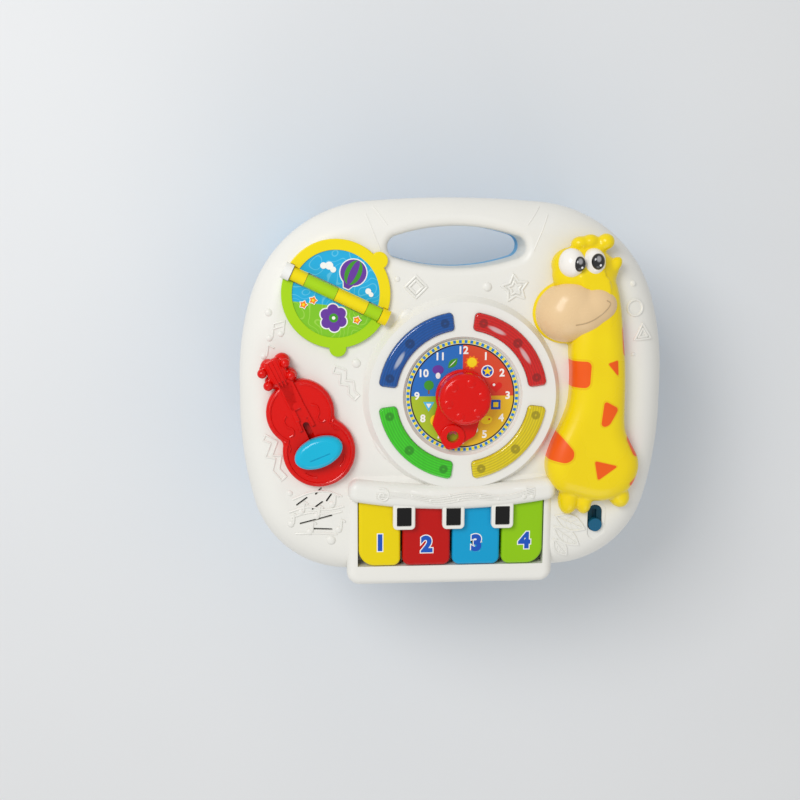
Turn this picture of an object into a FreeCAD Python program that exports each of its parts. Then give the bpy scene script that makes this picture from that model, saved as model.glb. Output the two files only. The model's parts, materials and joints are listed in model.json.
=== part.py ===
import FreeCAD, Part
import Sketcher
import math
import os
import re

# Musical activity table for small children: a white top shell that carries a clock dial, four lamp
# lenses, a four-key piano, a violin with a sliding bow, a two-page book and a giraffe, standing on a
# light-blue tray with four legs. Millimetres, +Z up, +Y towards the carrying handle, the piano at -Y.
# The origin is the centre of the footprint, on the floor.

doc = FreeCAD.newDocument("activity_table")
Vector = FreeCAD.Vector
sheet = doc.addObject("Spreadsheet::Sheet", "Sizes")

# Driving dimensions, one cell each. A text that starts with = is worked out from the others.
SIZES = [
    ("half_width", 166.2), ("half_depth", 150.7), ("front_edge", 142.2),
    ("rear_radius", 766), ("rear_corner_radius", 103), ("rear_side_radius", 216), ("rear_side_start", 12),
    ("front_side_radius", 287), ("front_side_start", 10), ("front_corner_radius", 76.6),
    ("leg_length", 143), ("tray_depth", 14), ("shell_height", 38),
    ("tray_floor", "=leg_length"), ("rim_level", "=leg_length + tray_depth"),
    ("panel", "=leg_length + tray_depth + shell_height"),
    ("wall", 3), ("rim_round", 24), ("running_gap", 0.3), ("fit_gap", 0.2),
    ("tray_inset", 2), ("tray_round", 7), ("register_height", 4), ("register_wall", 2),
    ("handle_half_length", 52.7), ("handle_half_height", 15.8), ("handle_y", "=half_depth - 37.1"),
    ("handle_arc_radius", 150), ("handle_round", 6),
    ("piano_left", -84), ("piano_right", 79), ("piano_rise", 2), ("piano_corner", 10), ("piano_round", 7),
    ("piano_back", -60), ("key_well_wall", 2.5), ("key_side_gap", 0.8), ("key_gap", 1.6),
    ("inner_key_width", 37.5), ("outer_key_width", 32.6), ("keys_left", -75), ("key_front", "=16.7 - half_depth"),
    ("key_back", -71), ("key_top_rise", 3.5), ("key_thickness", 8), ("key_edge_round", 2.2),
    ("key_front_corner", 6), ("end_key_corner", 13), ("key_barrel_radius", 4), ("key_pivot_y", -75),
    ("key_pivot_drop", 5), ("key_rod_radius", 1.5), ("well_floor_drop", 16.5), ("plunger_y", -112),
    ("plunger_radius", 4), ("plunger_length", 4.4), ("key_board_thickness", 1.5), ("dome_radius", 5.5),
    ("bar_left", -83.3), ("bar_right", 78.9), ("bar_back", -62.8), ("bar_back_sag", 6),
    ("bar_front", -80.5), ("bar_front_sag", 7.6), ("bar_top_rise", 11), ("bar_under_rise", 4.5),
    ("bar_corner", 7.5), ("bar_round", 6.5),
    ("frame_pitch", 38.4), ("frame_middle", -1.6), ("frame_width", 17.3), ("frame_front", -103.4),
    ("frame_wall", 2.9), ("frame_lift", 0.5), ("frame_height", 4.5), ("frame_back", -85.5), ("black_key_drop", 1.2),
    ("dial_x", 4.5), ("dial_y", 1), ("platform_radius", 72), ("platform_rise", 8), ("platform_flare", 5),
    ("platform_floor", 5), ("dial_recess_radius", 46), ("dial_recess_depth", 5), ("dial_radius", 43.4),
    ("dial_thickness", 2.2), ("seat_radius", 49), ("shaft_radius", 4),
    ("lens_inner", 51), ("lens_outer", 65), ("lens_half_gap", 7.8), ("lens_seat_depth", 3),
    ("lens_proud", 2.5), ("lens_corner", 3.2), ("lens_round", 2), ("lamp_radius", 2.5), ("lamp_flange", 3),
    ("lens_post_radius", 2.2), ("lens_post_inset", 7), ("post_screw_radius", 1),
    ("lens_screw_length", 5),
    ("knob_flange_radius", 21), ("knob_flange_thickness", 4.5), ("knob_dome_radius", 16),
    ("knob_height", 19), ("knob_lift", 1), ("knob_bumps", 8), ("knob_bump_radius", 3.2),
    ("pointer_reach", 44.5), ("pointer_angle", -14.7), ("pointer_shoulder", 27), ("pointer_half_width", 17.2),
    ("window_reach", 31.4), ("window_radius", 4.6), ("window_ring_radius", 9.5), ("window_ring_rise", 2),
    ("detent_radius", 12), ("detent_thickness", 3), ("detent_drop", 14),
    ("board_width", 132), ("board_depth", 122), ("board_thickness", 1.6), ("board_drop", 9),
    ("board_shaft_hole", 7), ("standoff_radius", 3.5),
    ("book_x", "=74.5 - half_width"), ("book_y", "=half_depth - 71.8"), ("book_angle", -25.4), ("page_radius", 41), ("label_radius", 33),
    ("page_thickness", 2.2), ("page_rim_rise", 0.9), ("page_lift", 0.8), ("hinge_rise", 5.6),
    ("hinge_pin_radius", 2), ("knuckle_radius", 5), ("hinge_side_gap", 0.6), ("tab_radius", 6.5),
    ("tab_along", 18.7), ("knuckle_end", 36.4), ("knuckle_step", 24.9), ("bracket_length", 6.5),
    ("bracket_radius", 6.4), ("cap_radius", 6), ("pin_seat", 4),
    ("violin_x", "=61 - half_width"), ("violin_y", -41), ("violin_angle", 25), ("lower_bout", 27.8), ("upper_bout", 26),
    ("bout_distance", 33.2), ("waist_round", 6), ("violin_height", 8), ("violin_round", 3.5),
    ("violin_wall", 2.5), ("neck_width", 12), ("neck_start", 28), ("neck_end", 64), ("neck_rise", 2.2),
    ("head_along", 70), ("head_width", 15), ("head_length", 19), ("head_side", -2.3), ("peg_radius", 3.8),
    ("peg_spread", 7.7), ("peg_step", 9.6), ("slot_width", 5), ("slot_top", 25.6),
    ("bow_long", 19), ("bow_short", 11.5), ("bow_turn", -3), ("bow_rest", 1), ("bow_travel", 19.5),
    ("bow_lift", 3), ("bow_height", 8), ("carriage_width", 14), ("carriage_length", 12),
    ("carriage_thickness", 1.6),
    ("switch_x", "=half_width - 53.6"), ("switch_y", "=37.9 - front_edge"), ("switch_travel", 10), ("switch_hole_radius", 5.8),
    ("switch_knob_radius", 5.2), ("switch_recess_radius", 7.3), ("switch_recess_length", 17.6),
    ("switch_recess_depth", 1.2), ("switch_recess_x", "=switch_x + 1.1"), ("switch_recess_y", "=switch_y + 3"),
    ("switch_body_height", 9), ("switch_body_wall", 1.5), ("switch_body_corner", 7.2), ("switch_body_gap", 0.5),
    ("leg_width", 78), ("leg_foot_width", 56), ("leg_thickness", 30), ("leg_foot_thickness", 24),
    ("leg_inset", 4), ("leg_bulge", 9), ("leg_wall", 4), ("leg_foot_round", 5), ("leg_side_round", 6),
    ("spigot_width", 40), ("spigot_thickness", 11), ("spigot_height", 11), ("rear_leg_angle", 45), ("front_leg_angle", 45),
    ("cell_radius", 7.2), ("cell_length", 50.5), ("cell_pitch", 15.4), ("battery_x", 0),
    ("battery_y", -20), ("battery_wall", 2), ("contact_room", 4), ("door_thickness", 2.5),
    ("door_lip", 7), ("door_screw_radius", 1.5),
    ("speaker_x", "=58.2 - half_width"), ("speaker_y", "=51.2 - front_edge"), ("speaker_radius", 20), ("speaker_ring_wall", 2),
    ("speaker_drop", 7), ("grille_slit", 1.5),
    ("boss_radius", 4), ("screw_radius", 1.4), ("screw_head_radius", 2.8), ("screw_head_height", 2.2),
    ("screw_length", 20), ("split_level", 162), ("head_seat_drop", 5), ("board_screw_bite", 6),
    ("giraffe_x", "=half_width - 57.2"), ("giraffe_rise", 20), ("giraffe_round", 9), ("giraffe_wall", 6),
    ("giraffe_notch", 12.5), ("lead_radius", 0.8), ("lead_bend", 5),
]
for row, (alias, amount) in enumerate(SIZES, 1):
    sheet.set("A%d" % row, alias)
    sheet.set("B%d" % row, str(amount))
    sheet.setAlias("B%d" % row, alias)
doc.recompute()
ALIASES = {alias for alias, amount in SIZES}
PIECES = []


class Read:
    """Reads a cell of the sheet by its alias."""

    def __getattr__(self, alias):
        return float(sheet.get(alias))


size = Read()


def formula(text):
    """An expression with each alias pointed at the sheet."""
    return re.sub(r"[a-z][a-z_]*", lambda word: "Sizes." + word.group()
                  if word.group() in ALIASES else word.group(), str(text))


def number(text):
    """The present value of an expression."""
    return float(sheet.evalExpression(formula(text)))


def place(item, x="0", y="0", z="0", turn=None):
    """Binds an object's position to the sheet, after turning it about an axis by an angle."""
    if turn:
        item.Placement = FreeCAD.Placement(Vector(), FreeCAD.Rotation(Vector(*turn[:3]), turn[3]))
    item.setExpression("Placement.Base.x", formula(x))
    item.setExpression("Placement.Base.y", formula(y))
    item.setExpression("Placement.Base.z", formula(z))
    return item


def primitive(kind, at, turn=None, **sizes):
    """A Part primitive whose sizes and place are bound to the sheet."""
    item = doc.addObject("Part::" + kind, kind.lower())
    for name, text in sizes.items():
        item.setExpression(name, formula(text))
    return place(item, *at, turn=turn)


def cylinder(radius, length, at, turn=None):
    return primitive("Cylinder", at, turn, Radius=radius, Height=length)


def box(length, width, height, at):
    return primitive("Box", at, None, Length=length, Width=width, Height=height)


def join(*items):
    item = doc.addObject("Part::MultiFuse", "fusion")
    item.Shapes = list(items)
    return item


def cut(base, *tools):
    item = doc.addObject("Part::Cut", "cut")
    item.Base = base
    item.Tool = tools[0] if len(tools) == 1 else join(*tools)
    return item


def group(*items):
    item = doc.addObject("Part::Compound", "group")
    item.Links = list(items)
    return item


def piece(label, item):
    """Names a finished sub-part, which is written to a file of that name."""
    item.Label = label
    PIECES.append(item)
    return item


def feature(label, shape):
    """A sub-part whose free form is made in code from the sheet's sizes."""
    item = doc.addObject("Part::Feature", label)
    spot = shape.Placement
    item.Shape = shape
    item.Placement = spot
    return piece(label, item)


def turned(label, profile, x, y, z):
    """A body turned about Z from a closed profile of (radius, height) pairs."""
    body = doc.addObject("PartDesign::Body", label)
    sketch = body.newObject("Sketcher::SketchObject", label + "_profile")
    plane = [part for part in body.Origin.OriginFeatures if part.Role == "XZ_Plane"][0]
    sketch.AttachmentSupport = [(plane, "")]
    sketch.MapMode = "FlatFace"
    spots = [(number(radius), number(height)) for radius, height in profile]
    for start, end in zip(spots, spots[1:] + spots[:1]):
        sketch.addGeometry(Part.LineSegment(Vector(*start, 0), Vector(*end, 0)), False)
    count = len(profile)
    for line in range(count):
        sketch.addConstraint(Sketcher.Constraint("Coincident", line, 2, (line + 1) % count, 1))
    for line, (radius, height) in enumerate(profile):
        for kind, text, amount in (("DistanceX", radius, spots[line][0]), ("DistanceY", height, spots[line][1])):
            index = sketch.addConstraint(Sketcher.Constraint(kind, -1, 1, line, 1, amount))
            sketch.setExpression("Constraints[%d]" % index, formula(text))
    turn = body.newObject("PartDesign::Revolution", label + "_turn")
    turn.Profile = sketch
    turn.ReferenceAxis = (sketch, ["V_Axis"])
    turn.Angle = 360
    body.Tip = turn
    return piece(label, place(body, x, y, z))


def plate(label, width, depth, thickness, corner, x, y, z):
    """A body padded from a rounded rectangle that is centred at x and y and stands on z."""
    body = doc.addObject("PartDesign::Body", label)
    sketch = body.newObject("Sketcher::SketchObject", label + "_outline")
    plane = [part for part in body.Origin.OriginFeatures if part.Role == "XY_Plane"][0]
    sketch.AttachmentSupport = [(plane, "")]
    sketch.MapMode = "FlatFace"
    half = (number(width) / 2, number(depth) / 2)
    around = number(corner)
    spots = [(-1, -1), (1, -1), (1, 1), (-1, 1)]
    for spot, after in zip(spots, spots[1:] + spots[:1]):
        step = [(b - a) / 2 for a, b in zip(spot, after)]
        start = [spot[k] * half[k] + step[k] * around for k in (0, 1)]
        end = [after[k] * half[k] - step[k] * around for k in (0, 1)]
        sketch.addGeometry(Part.LineSegment(Vector(*start, 0), Vector(*end, 0)), False)
    for number_of, spot in enumerate(spots[1:] + spots[:1]):
        centre = Vector(spot[0] * (half[0] - around), spot[1] * (half[1] - around), 0)
        first = math.radians(-90 + 90 * number_of)
        arc = Part.ArcOfCircle(Part.Circle(centre, Vector(0, 0, 1), around), first, first + math.pi / 2)
        sketch.addGeometry(arc, False)
    for side in range(4):
        sketch.addConstraint(Sketcher.Constraint("Tangent", side, 2, 4 + side, 1))
        sketch.addConstraint(Sketcher.Constraint("Tangent", 4 + side, 2, (side + 1) % 4, 1))
        if side:
            sketch.addConstraint(Sketcher.Constraint("Equal", 4, 4 + side))
    sketch.addConstraint(Sketcher.Constraint("Horizontal", 0))
    sketch.addConstraint(Sketcher.Constraint("Symmetric", 4, 3, 6, 3, -1, 1))
    for kind, text, refs in (("DistanceX", width, (3, 2, 1, 1)), ("DistanceY", depth, (0, 1, 2, 1))):
        index = sketch.addConstraint(Sketcher.Constraint(kind, *refs, number(text)))
        sketch.setExpression("Constraints[%d]" % index, formula(text))
    index = sketch.addConstraint(Sketcher.Constraint("Radius", 4, around))
    sketch.setExpression("Constraints[%d]" % index, formula(corner))
    pad = body.newObject("PartDesign::Pad", label + "_pad")
    pad.Profile = sketch
    pad.setExpression("Length", formula(thickness))
    body.Tip = pad
    return place(body, x, y, z)


def ring_arc(centre, radius, first, last):
    """An arc about a centre from one angle to another, in degrees."""
    spots = [Vector(centre[0] + radius * math.cos(math.radians(a)), centre[1] + radius * math.sin(math.radians(a)), 0)
             for a in (first, (first + last) / 2, last)]
    return Part.Arc(*spots).toShape()


def meeting_centre(a, radius_a, b, radius_b):
    """Centre at given distances from two others, on the side with the larger x + |y|."""
    gap = math.hypot(b[0] - a[0], b[1] - a[1])
    along = (radius_a ** 2 - radius_b ** 2 + gap ** 2) / (2 * gap)
    across = math.sqrt(radius_a ** 2 - along ** 2)
    unit = ((b[0] - a[0]) / gap, (b[1] - a[1]) / gap)
    spots = [(a[0] + unit[0] * along - side * unit[1] * across, a[1] + unit[1] * along + side * unit[0] * across)
             for side in (1, -1)]
    return max(spots, key=lambda spot: spot[0] + abs(spot[1]))


def angle_of(centre, spot):
    return math.degrees(math.atan2(spot[1] - centre[1], spot[0] - centre[0]))


rear_flat = (0, size.half_depth - size.rear_radius)
rear_side = (size.half_width - size.rear_side_radius, size.rear_side_start)
rear_corner = meeting_centre(rear_flat, size.rear_radius - size.rear_corner_radius,
                             rear_side, size.rear_side_radius - size.rear_corner_radius)
front_side = (size.half_width - size.front_side_radius, -size.front_side_start)
corner_y = size.front_corner_radius - size.front_edge
reach = size.front_side_radius - size.front_corner_radius
front_corner = (front_side[0] + math.sqrt(reach ** 2 - (corner_y - front_side[1]) ** 2), corner_y)


def outline(inset):
    """The white shell's outline as a face, moved inwards by an inset."""
    rear_turn = angle_of(rear_flat, rear_corner)
    side_turn = angle_of(rear_side, rear_corner)
    low_turn = angle_of(front_side, front_corner)
    half = [
        ring_arc(rear_flat, size.rear_radius - inset, 90, rear_turn),
        ring_arc(rear_corner, size.rear_corner_radius - inset, rear_turn, side_turn),
        ring_arc(rear_side, size.rear_side_radius - inset, side_turn, 0),
        Part.makeLine(Vector(size.half_width - inset, size.rear_side_start, 0),
                      Vector(size.half_width - inset, -size.front_side_start, 0)),
        ring_arc(front_side, size.front_side_radius - inset, 0, low_turn),
        ring_arc(front_corner, size.front_corner_radius - inset, low_turn, -90),
        Part.makeLine(Vector(front_corner[0], inset - size.front_edge, 0), Vector(0, inset - size.front_edge, 0)),
    ]
    mirror = FreeCAD.Matrix()
    mirror.scale(-1, 1, 1)
    other = [edge.transformGeometry(mirror) for edge in half]
    return Part.Face(Part.Wire(Part.__sortEdges__(half + other)))


def raised(face, low, high):
    """A face carried from one level to another as a solid."""
    lifted = face.copy()
    lifted.translate(Vector(0, 0, low))
    return lifted.extrude(Vector(0, 0, high - low))


def level_edges(solid, level):
    """The edges that lie in one horizontal plane."""
    return [edge for edge in solid.Edges
            if abs(edge.BoundBox.ZMin - level) < 0.001 and abs(edge.BoundBox.ZMax - level) < 0.001]


def upright_edges(solid):
    """The straight edges that run along Z."""
    return [edge for edge in solid.Edges
            if abs(edge.BoundBox.XLength) < 0.001 and abs(edge.BoundBox.YLength) < 0.001]


def rounded_box(left, right, front, back, low, high, corner, top_round=0):
    """A box with rounded upright corners and, if asked, a rounded top rim."""
    solid = Part.makeBox(right - left, back - front, high - low, Vector(left, front, low))
    solid = solid.makeFillet(corner, upright_edges(solid))
    return solid.makeFillet(top_round, level_edges(solid, high)) if top_round else solid


def slot_solid(x, front, back, radius, low, high):
    """A slot-shaped solid along Y, whose end centres are at front and back."""
    middle = Part.makeBox(2 * radius, back - front, high - low, Vector(x - radius, front, low))
    ends = [Part.makeCylinder(radius, high - low, Vector(x, y, low)) for y in (front, back)]
    return middle.fuse(ends).removeSplitter()


def eye_face(grow):
    """The handle opening as a face: two long arcs and two small round ends."""
    length = size.handle_half_length + grow
    height = size.handle_half_height + grow
    long = size.handle_arc_radius + grow
    end = (2 * long * height - height ** 2 - length ** 2) / (2 * (long - length))
    tip = angle_of((0, height - long), (length - end, 0))
    edges = [
        ring_arc((0, height - long), long, 180 - tip, tip),
        ring_arc((length - end, 0), end, tip, -tip),
        ring_arc((0, long - height), long, -tip, tip - 180),
        ring_arc((end - length, 0), end, 180 + tip, 180 - tip),
    ]
    face = Part.Face(Part.Wire(Part.__sortEdges__(edges)))
    face.translate(Vector(0, size.handle_y, 0))
    return face


def sweep_sector(inner, outer, first, last):
    """A ring sector about the dial's centre as a face."""
    edges = [
        ring_arc((0, 0), outer, first, last),
        ring_arc((0, 0), inner, first, last),
    ]
    for turn in (first, last):
        unit = Vector(math.cos(math.radians(turn)), math.sin(math.radians(turn)), 0)
        edges.append(Part.makeLine(unit * inner, unit * outer))
    face = Part.Face(Part.Wire(Part.__sortEdges__(edges)))
    face.translate(Vector(size.dial_x, size.dial_y, 0))
    return face


def lens_sector(number_of, grow):
    """One lens in plan: a quarter of the ring, less the gap at each end."""
    middle = (size.lens_inner + size.lens_outer) / 2
    gap = math.degrees((size.lens_half_gap - grow) / middle)
    return sweep_sector(size.lens_inner - grow, size.lens_outer + grow,
                        90 * number_of + gap, 90 * number_of + 90 - gap)


def lens_block(number_of, grow, low, high):
    """A lens sector between two heights, with rounded corners."""
    block = raised(lens_sector(number_of, grow), low, high)
    return block.makeFillet(size.lens_corner + grow, upright_edges(block))


def on_dial(radius, turn):
    """A place at a radius and angle about the dial's centre."""
    return (size.dial_x + radius * math.cos(math.radians(turn)), size.dial_y + radius * math.sin(math.radians(turn)))


LENSES = ["red", "blue", "green", "yellow"]
lens_middle = (size.lens_inner + size.lens_outer) / 2
post_turn = math.degrees((size.lens_half_gap + size.lens_post_inset) / lens_middle)
platform_top = size.panel + size.platform_rise
dial_floor = platform_top - size.dial_recess_depth
board_top = size.panel - size.wall - size.board_drop + size.board_thickness
side_post = size.half_width - 21.2
rear_post = (72, size.half_depth - 28.7)
CASE_SCREWS = [(side_post, 20), (-side_post, 20), rear_post, (-rear_post[0], rear_post[1]), (85, -48), (-85, -48)]
BOARD_SCREWS = [(-57, 57), (66, 57), (-57, -55), (66, -55)]
TRIM_SCREWS = [(size.giraffe_x + 1, 12), (size.giraffe_x + 1, -62),
               (size.violin_x - 15.8, size.violin_y + 39), (size.violin_x + 7.2, size.violin_y - 19)]
# The sound slits' ends, from the loudspeaker's centre.
GRILLE = [((-14.6, 6.7), (-7.1, 12.2)), ((0, 15.2), (4, 19.7)), ((8.4, 9.7), (11.9, 14.7)),
          ((-2.6, 3.2), (4.9, 8.7)), ((-12, -8.3), (12, -2.3)), ((-2, -12.6), (12, -13.3))]


def top_shell():
    """The white moulding: rounded case, piano housing, dial platform, bar and key frames, hollow below."""
    panel = size.panel
    under = panel - size.wall
    rim = size.rim_level
    case = raised(outline(0), rim, panel)
    case = case.makeFillet(size.rim_round, level_edges(case, panel))
    left, right, front = size.piano_left, size.piano_right, -size.half_depth
    housing_top = panel + size.piano_rise
    housing = piano_housing()
    flare = size.platform_radius + size.platform_flare
    base = Vector(size.dial_x, size.dial_y, panel - 1)
    platform = Part.makeCone(flare, size.platform_radius, size.platform_rise + 1, base)
    outer = case.fuse([housing, platform]).removeSplitter()

    inside = raised(outline(size.wall), rim - 1, under)
    inside = inside.makeFillet(size.rim_round - size.wall, level_edges(inside, under))
    wall = size.wall
    housing_inside = rounded_box(left + wall, right - wall, front + wall, size.piano_back, rim - 1,
                                 housing_top - wall, size.piano_corner - wall)
    platform_inside = Part.makeCylinder(size.platform_radius - wall, size.platform_rise - size.platform_floor + wall,
                                        Vector(size.dial_x, size.dial_y, under))
    seat = Part.makeCylinder(size.seat_radius, size.platform_rise, Vector(size.dial_x, size.dial_y, panel))
    shell = outer.cut(inside.fuse([housing_inside, platform_inside])).fuse(seat.common(outer))

    well_floor = panel + size.key_top_rise - size.well_floor_drop - size.key_board_thickness
    well_left = size.keys_left - size.key_side_gap
    well_right = keys_right() + size.key_side_gap
    grow = size.key_well_wall
    well_front = size.key_front - size.key_side_gap
    well_back = size.key_pivot_y + size.key_barrel_radius + size.key_side_gap
    tub = Part.makeBox(well_right - well_left + 2 * grow, well_back - well_front + 2 * grow,
                       housing_top - 1 - well_floor + grow,
                       Vector(well_left - grow, well_front - grow, well_floor - grow))
    bar = piano_bar()
    collar = raised(eye_face(wall), rim, under + 1)
    pads = [Part.makeCylinder(size.boss_radius, under + 1 - size.split_level, Vector(x, y, size.split_level))
            for x, y in CASE_SCREWS]
    pads += [Part.makeCylinder(size.standoff_radius, under + 1 - board_top, Vector(x, y, board_top))
             for x, y in BOARD_SCREWS]
    speaker_top = Vector(size.speaker_x, size.speaker_y, panel - size.speaker_drop + size.fit_gap)
    ring = Part.makeCylinder(size.speaker_radius + size.speaker_ring_wall, under + 1 - speaker_top.z, speaker_top)
    ring = ring.cut(Part.makeCylinder(size.speaker_radius - size.speaker_ring_wall, panel, speaker_top))
    shell = shell.fuse([tub, collar, ring.common(outer)] + [pad.common(outer) for pad in pads])
    shell = shell.fuse([bar] + key_frames())

    well = Part.makeBox(well_right - well_left, well_back - well_front, panel + size.bar_under_rise - well_floor,
                        Vector(well_left, well_front, well_floor))
    shell = shell.cut(well)
    rod_y, rod_z = size.key_pivot_y, key_pivot_z()
    bore = Part.makeCylinder(size.key_rod_radius, well_right - well_left + 2 * grow - 1,
                             Vector(well_left - grow + 0.5, rod_y, rod_z), Vector(1, 0, 0))
    opening = raised(eye_face(0), rim - 1, panel + 1)
    recess = Part.makeCone(size.dial_radius + size.fit_gap, size.dial_recess_radius, size.dial_recess_depth,
                           Vector(size.dial_x, size.dial_y, dial_floor))
    hole = Part.makeCylinder(size.shaft_radius + size.running_gap, size.panel,
                             Vector(size.dial_x, size.dial_y, under - 1))
    cuts = [bore, opening, recess, hole]
    lens_floor = platform_top - size.lens_seat_depth
    for number_of in range(len(LENSES)):
        cuts.append(lens_block(number_of, size.fit_gap, lens_floor, platform_top + 1))
        for turn in (post_turn, 45, 90 - post_turn):
            radius = size.lamp_flange + size.running_gap if turn == 45 else size.lens_post_radius + size.fit_gap
            x, y = on_dial(lens_middle, 90 * number_of + turn)
            cuts.append(Part.makeCylinder(radius, panel, Vector(x, y, under - 1)))
    low = size.switch_y
    high = size.switch_y + size.switch_travel
    cuts.append(slot_solid(size.switch_x, low, high, size.switch_hole_radius, under - 1, panel + 1))
    half = size.switch_recess_length / 2
    cuts.append(slot_solid(size.switch_recess_x, size.switch_recess_y - half, size.switch_recess_y + half,
                           size.switch_recess_radius, panel - size.switch_recess_depth, panel + 1))
    for ends in GRILLE:
        start, end = [(size.speaker_x + x, size.speaker_y + y) for x, y in ends]
        cuts.append(slit(start, end, size.grille_slit, under - 1, panel + 1))
    for x, y in CASE_SCREWS:
        cuts.append(Part.makeCylinder(size.screw_radius, size.screw_length, Vector(x, y, size.split_level - 1)))
    for x, y in BOARD_SCREWS:
        cuts.append(Part.makeCylinder(size.screw_radius, size.board_screw_bite + 1, Vector(x, y, board_top - 1)))
    for x, y in TRIM_SCREWS:
        cuts.append(Part.makeCylinder(size.screw_radius, 2 * wall, Vector(x, y, under - 1)))
    shell = shell.cut(Part.makeCompound(cuts))
    lip = [edge for edge in level_edges(shell, panel)
           if edge.BoundBox.YMin > size.handle_y - size.handle_half_height - 1
           and edge.BoundBox.YMax < size.handle_y + size.handle_half_height + 1
           and abs(edge.BoundBox.XMin) < size.handle_half_length + 1
           and abs(edge.BoundBox.XMax) < size.handle_half_length + 1]
    shell = shell.makeFillet(size.handle_round, lip)
    return shell.removeSplitter()


def piano_housing():
    """The rounded block that the piano sits in."""
    return rounded_box(size.piano_left, size.piano_right, -size.half_depth, size.piano_back, size.rim_level,
                       size.panel + size.piano_rise, size.piano_corner, size.piano_round)


def keys_right():
    return size.keys_left + 2 * size.outer_key_width + 2 * size.inner_key_width + 3 * size.key_gap


def key_pivot_z():
    return size.panel + size.key_top_rise - size.key_thickness / 2 - size.key_pivot_drop


def slit(start, end, width, low, high):
    """A round-ended slit between two places."""
    a, b = Vector(*start, low), Vector(*end, low)
    across = Vector(a.y - b.y, b.x - a.x, 0).normalize() * (width / 2)
    along = (b - a).normalize() * (width / 2)
    edges = [
        Part.makeLine(a + across, b + across),
        Part.Arc(b + across, b + along, b - across).toShape(),
        Part.makeLine(b - across, a - across),
        Part.Arc(a - across, a - along, a + across).toShape(),
    ]
    return Part.Face(Part.Wire(edges)).extrude(Vector(0, 0, high - low))


def piano_bar():
    """The rounded white bar over the keys' back ends, bowed towards the front."""
    middle = (size.bar_left + size.bar_right) / 2
    left, right, back, front = size.bar_left, size.bar_right, size.bar_back, size.bar_front
    corners = [Vector(left, back, 0), Vector(middle, back - size.bar_back_sag, 0), Vector(right, back, 0),
               Vector(right, front, 0), Vector(middle, front - size.bar_front_sag, 0), Vector(left, front, 0)]
    edges = [
        Part.Arc(corners[0], corners[1], corners[2]).toShape(),
        Part.makeLine(corners[2], corners[3]),
        Part.Arc(corners[3], corners[4], corners[5]).toShape(),
        Part.makeLine(corners[5], corners[0]),
    ]
    low = size.panel - size.wall / 2
    high = size.panel + size.bar_top_rise
    bar = raised(Part.Face(Part.Wire(edges)), low, high)
    bar = bar.makeFillet(size.bar_corner, upright_edges(bar))
    return bar.makeFillet(size.bar_round, level_edges(bar, high))


def frame_centres():
    return [size.frame_middle + step * size.frame_pitch for step in (-1, 0, 1)]


def key_frames():
    """The three white frames that stand out of the bar, above the gaps between the keys."""
    low = size.panel + size.bar_under_rise + size.frame_lift
    high = low + size.frame_height
    frames = []
    for x in frame_centres():
        half = size.frame_width / 2
        frame = rounded_box(x - half, x + half, size.frame_front, size.frame_back + 4, low, high, 3.5, 1.2)
        hole = rounded_box(x - half + size.frame_wall, x + half - size.frame_wall, size.frame_front + size.frame_wall,
                           size.frame_back, low - 1, high + 1, 1)
        frames.append(frame.cut(hole))
    return frames


def black_keys():
    """The three glossy black inserts that fill the frames."""
    low = size.panel + size.bar_under_rise + size.frame_lift
    high = low + size.frame_height - size.black_key_drop
    inserts = []
    for x in frame_centres():
        half = size.frame_width / 2 - size.frame_wall
        insert = rounded_box(x - half, x + half, size.frame_front + size.frame_wall, size.frame_back, low, high, 1, 0.6)
        inserts.append(insert.cut(piano_bar()))
    return Part.makeCompound(inserts)


KEYS = ["yellow", "red", "blue", "green"]


def key_span(number_of):
    """The left and right sides of a key."""
    left = size.keys_left
    for earlier in range(number_of):
        left += (size.inner_key_width if earlier in (1, 2) else size.outer_key_width) + size.key_gap
    width = size.inner_key_width if number_of in (1, 2) else size.outer_key_width
    return left, left + width


def key(number_of):
    """A piano key: a plate with a hinge barrel at its back and a plunger below."""
    left, right = key_span(number_of)
    high = size.panel + size.key_top_rise
    low = high - size.key_thickness
    plate = Part.makeBox(right - left, size.key_back - size.key_front, high - low, Vector(left, size.key_front, low))
    for side in (left, right):
        outer = (side == left and number_of == 0) or (side == right and number_of == len(KEYS) - 1)
        corner = [edge for edge in upright_edges(plate) if abs(edge.BoundBox.YMin - size.key_front) < 0.001
                  and abs(edge.BoundBox.XMin - side) < 0.001]
        plate = plate.makeFillet(size.end_key_corner if outer else size.key_front_corner, corner)
    plate = plate.makeFillet(size.key_edge_round, level_edges(plate, high))
    barrel = Part.makeCylinder(size.key_barrel_radius, right - left,
                               Vector(left, size.key_pivot_y, key_pivot_z()), Vector(1, 0, 0))
    web = Part.makeBox(right - left, 2 * size.key_barrel_radius, low + 1 - key_pivot_z(),
                       Vector(left, size.key_pivot_y - size.key_barrel_radius, key_pivot_z()))
    web = web.common(Part.makeBox(right - left, size.key_back - size.key_front, 50,
                                  Vector(left, size.key_front, key_pivot_z())))
    plunger = Part.makeCylinder(size.plunger_radius, size.plunger_length + 1,
                                Vector((left + right) / 2, size.plunger_y, low - size.plunger_length))
    bore = Part.makeCylinder(size.key_rod_radius + size.running_gap, right - left,
                             Vector(left, size.key_pivot_y, key_pivot_z()), Vector(1, 0, 0))
    return plate.fuse([barrel, web, plunger]).removeSplitter().cut(bore)


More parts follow.
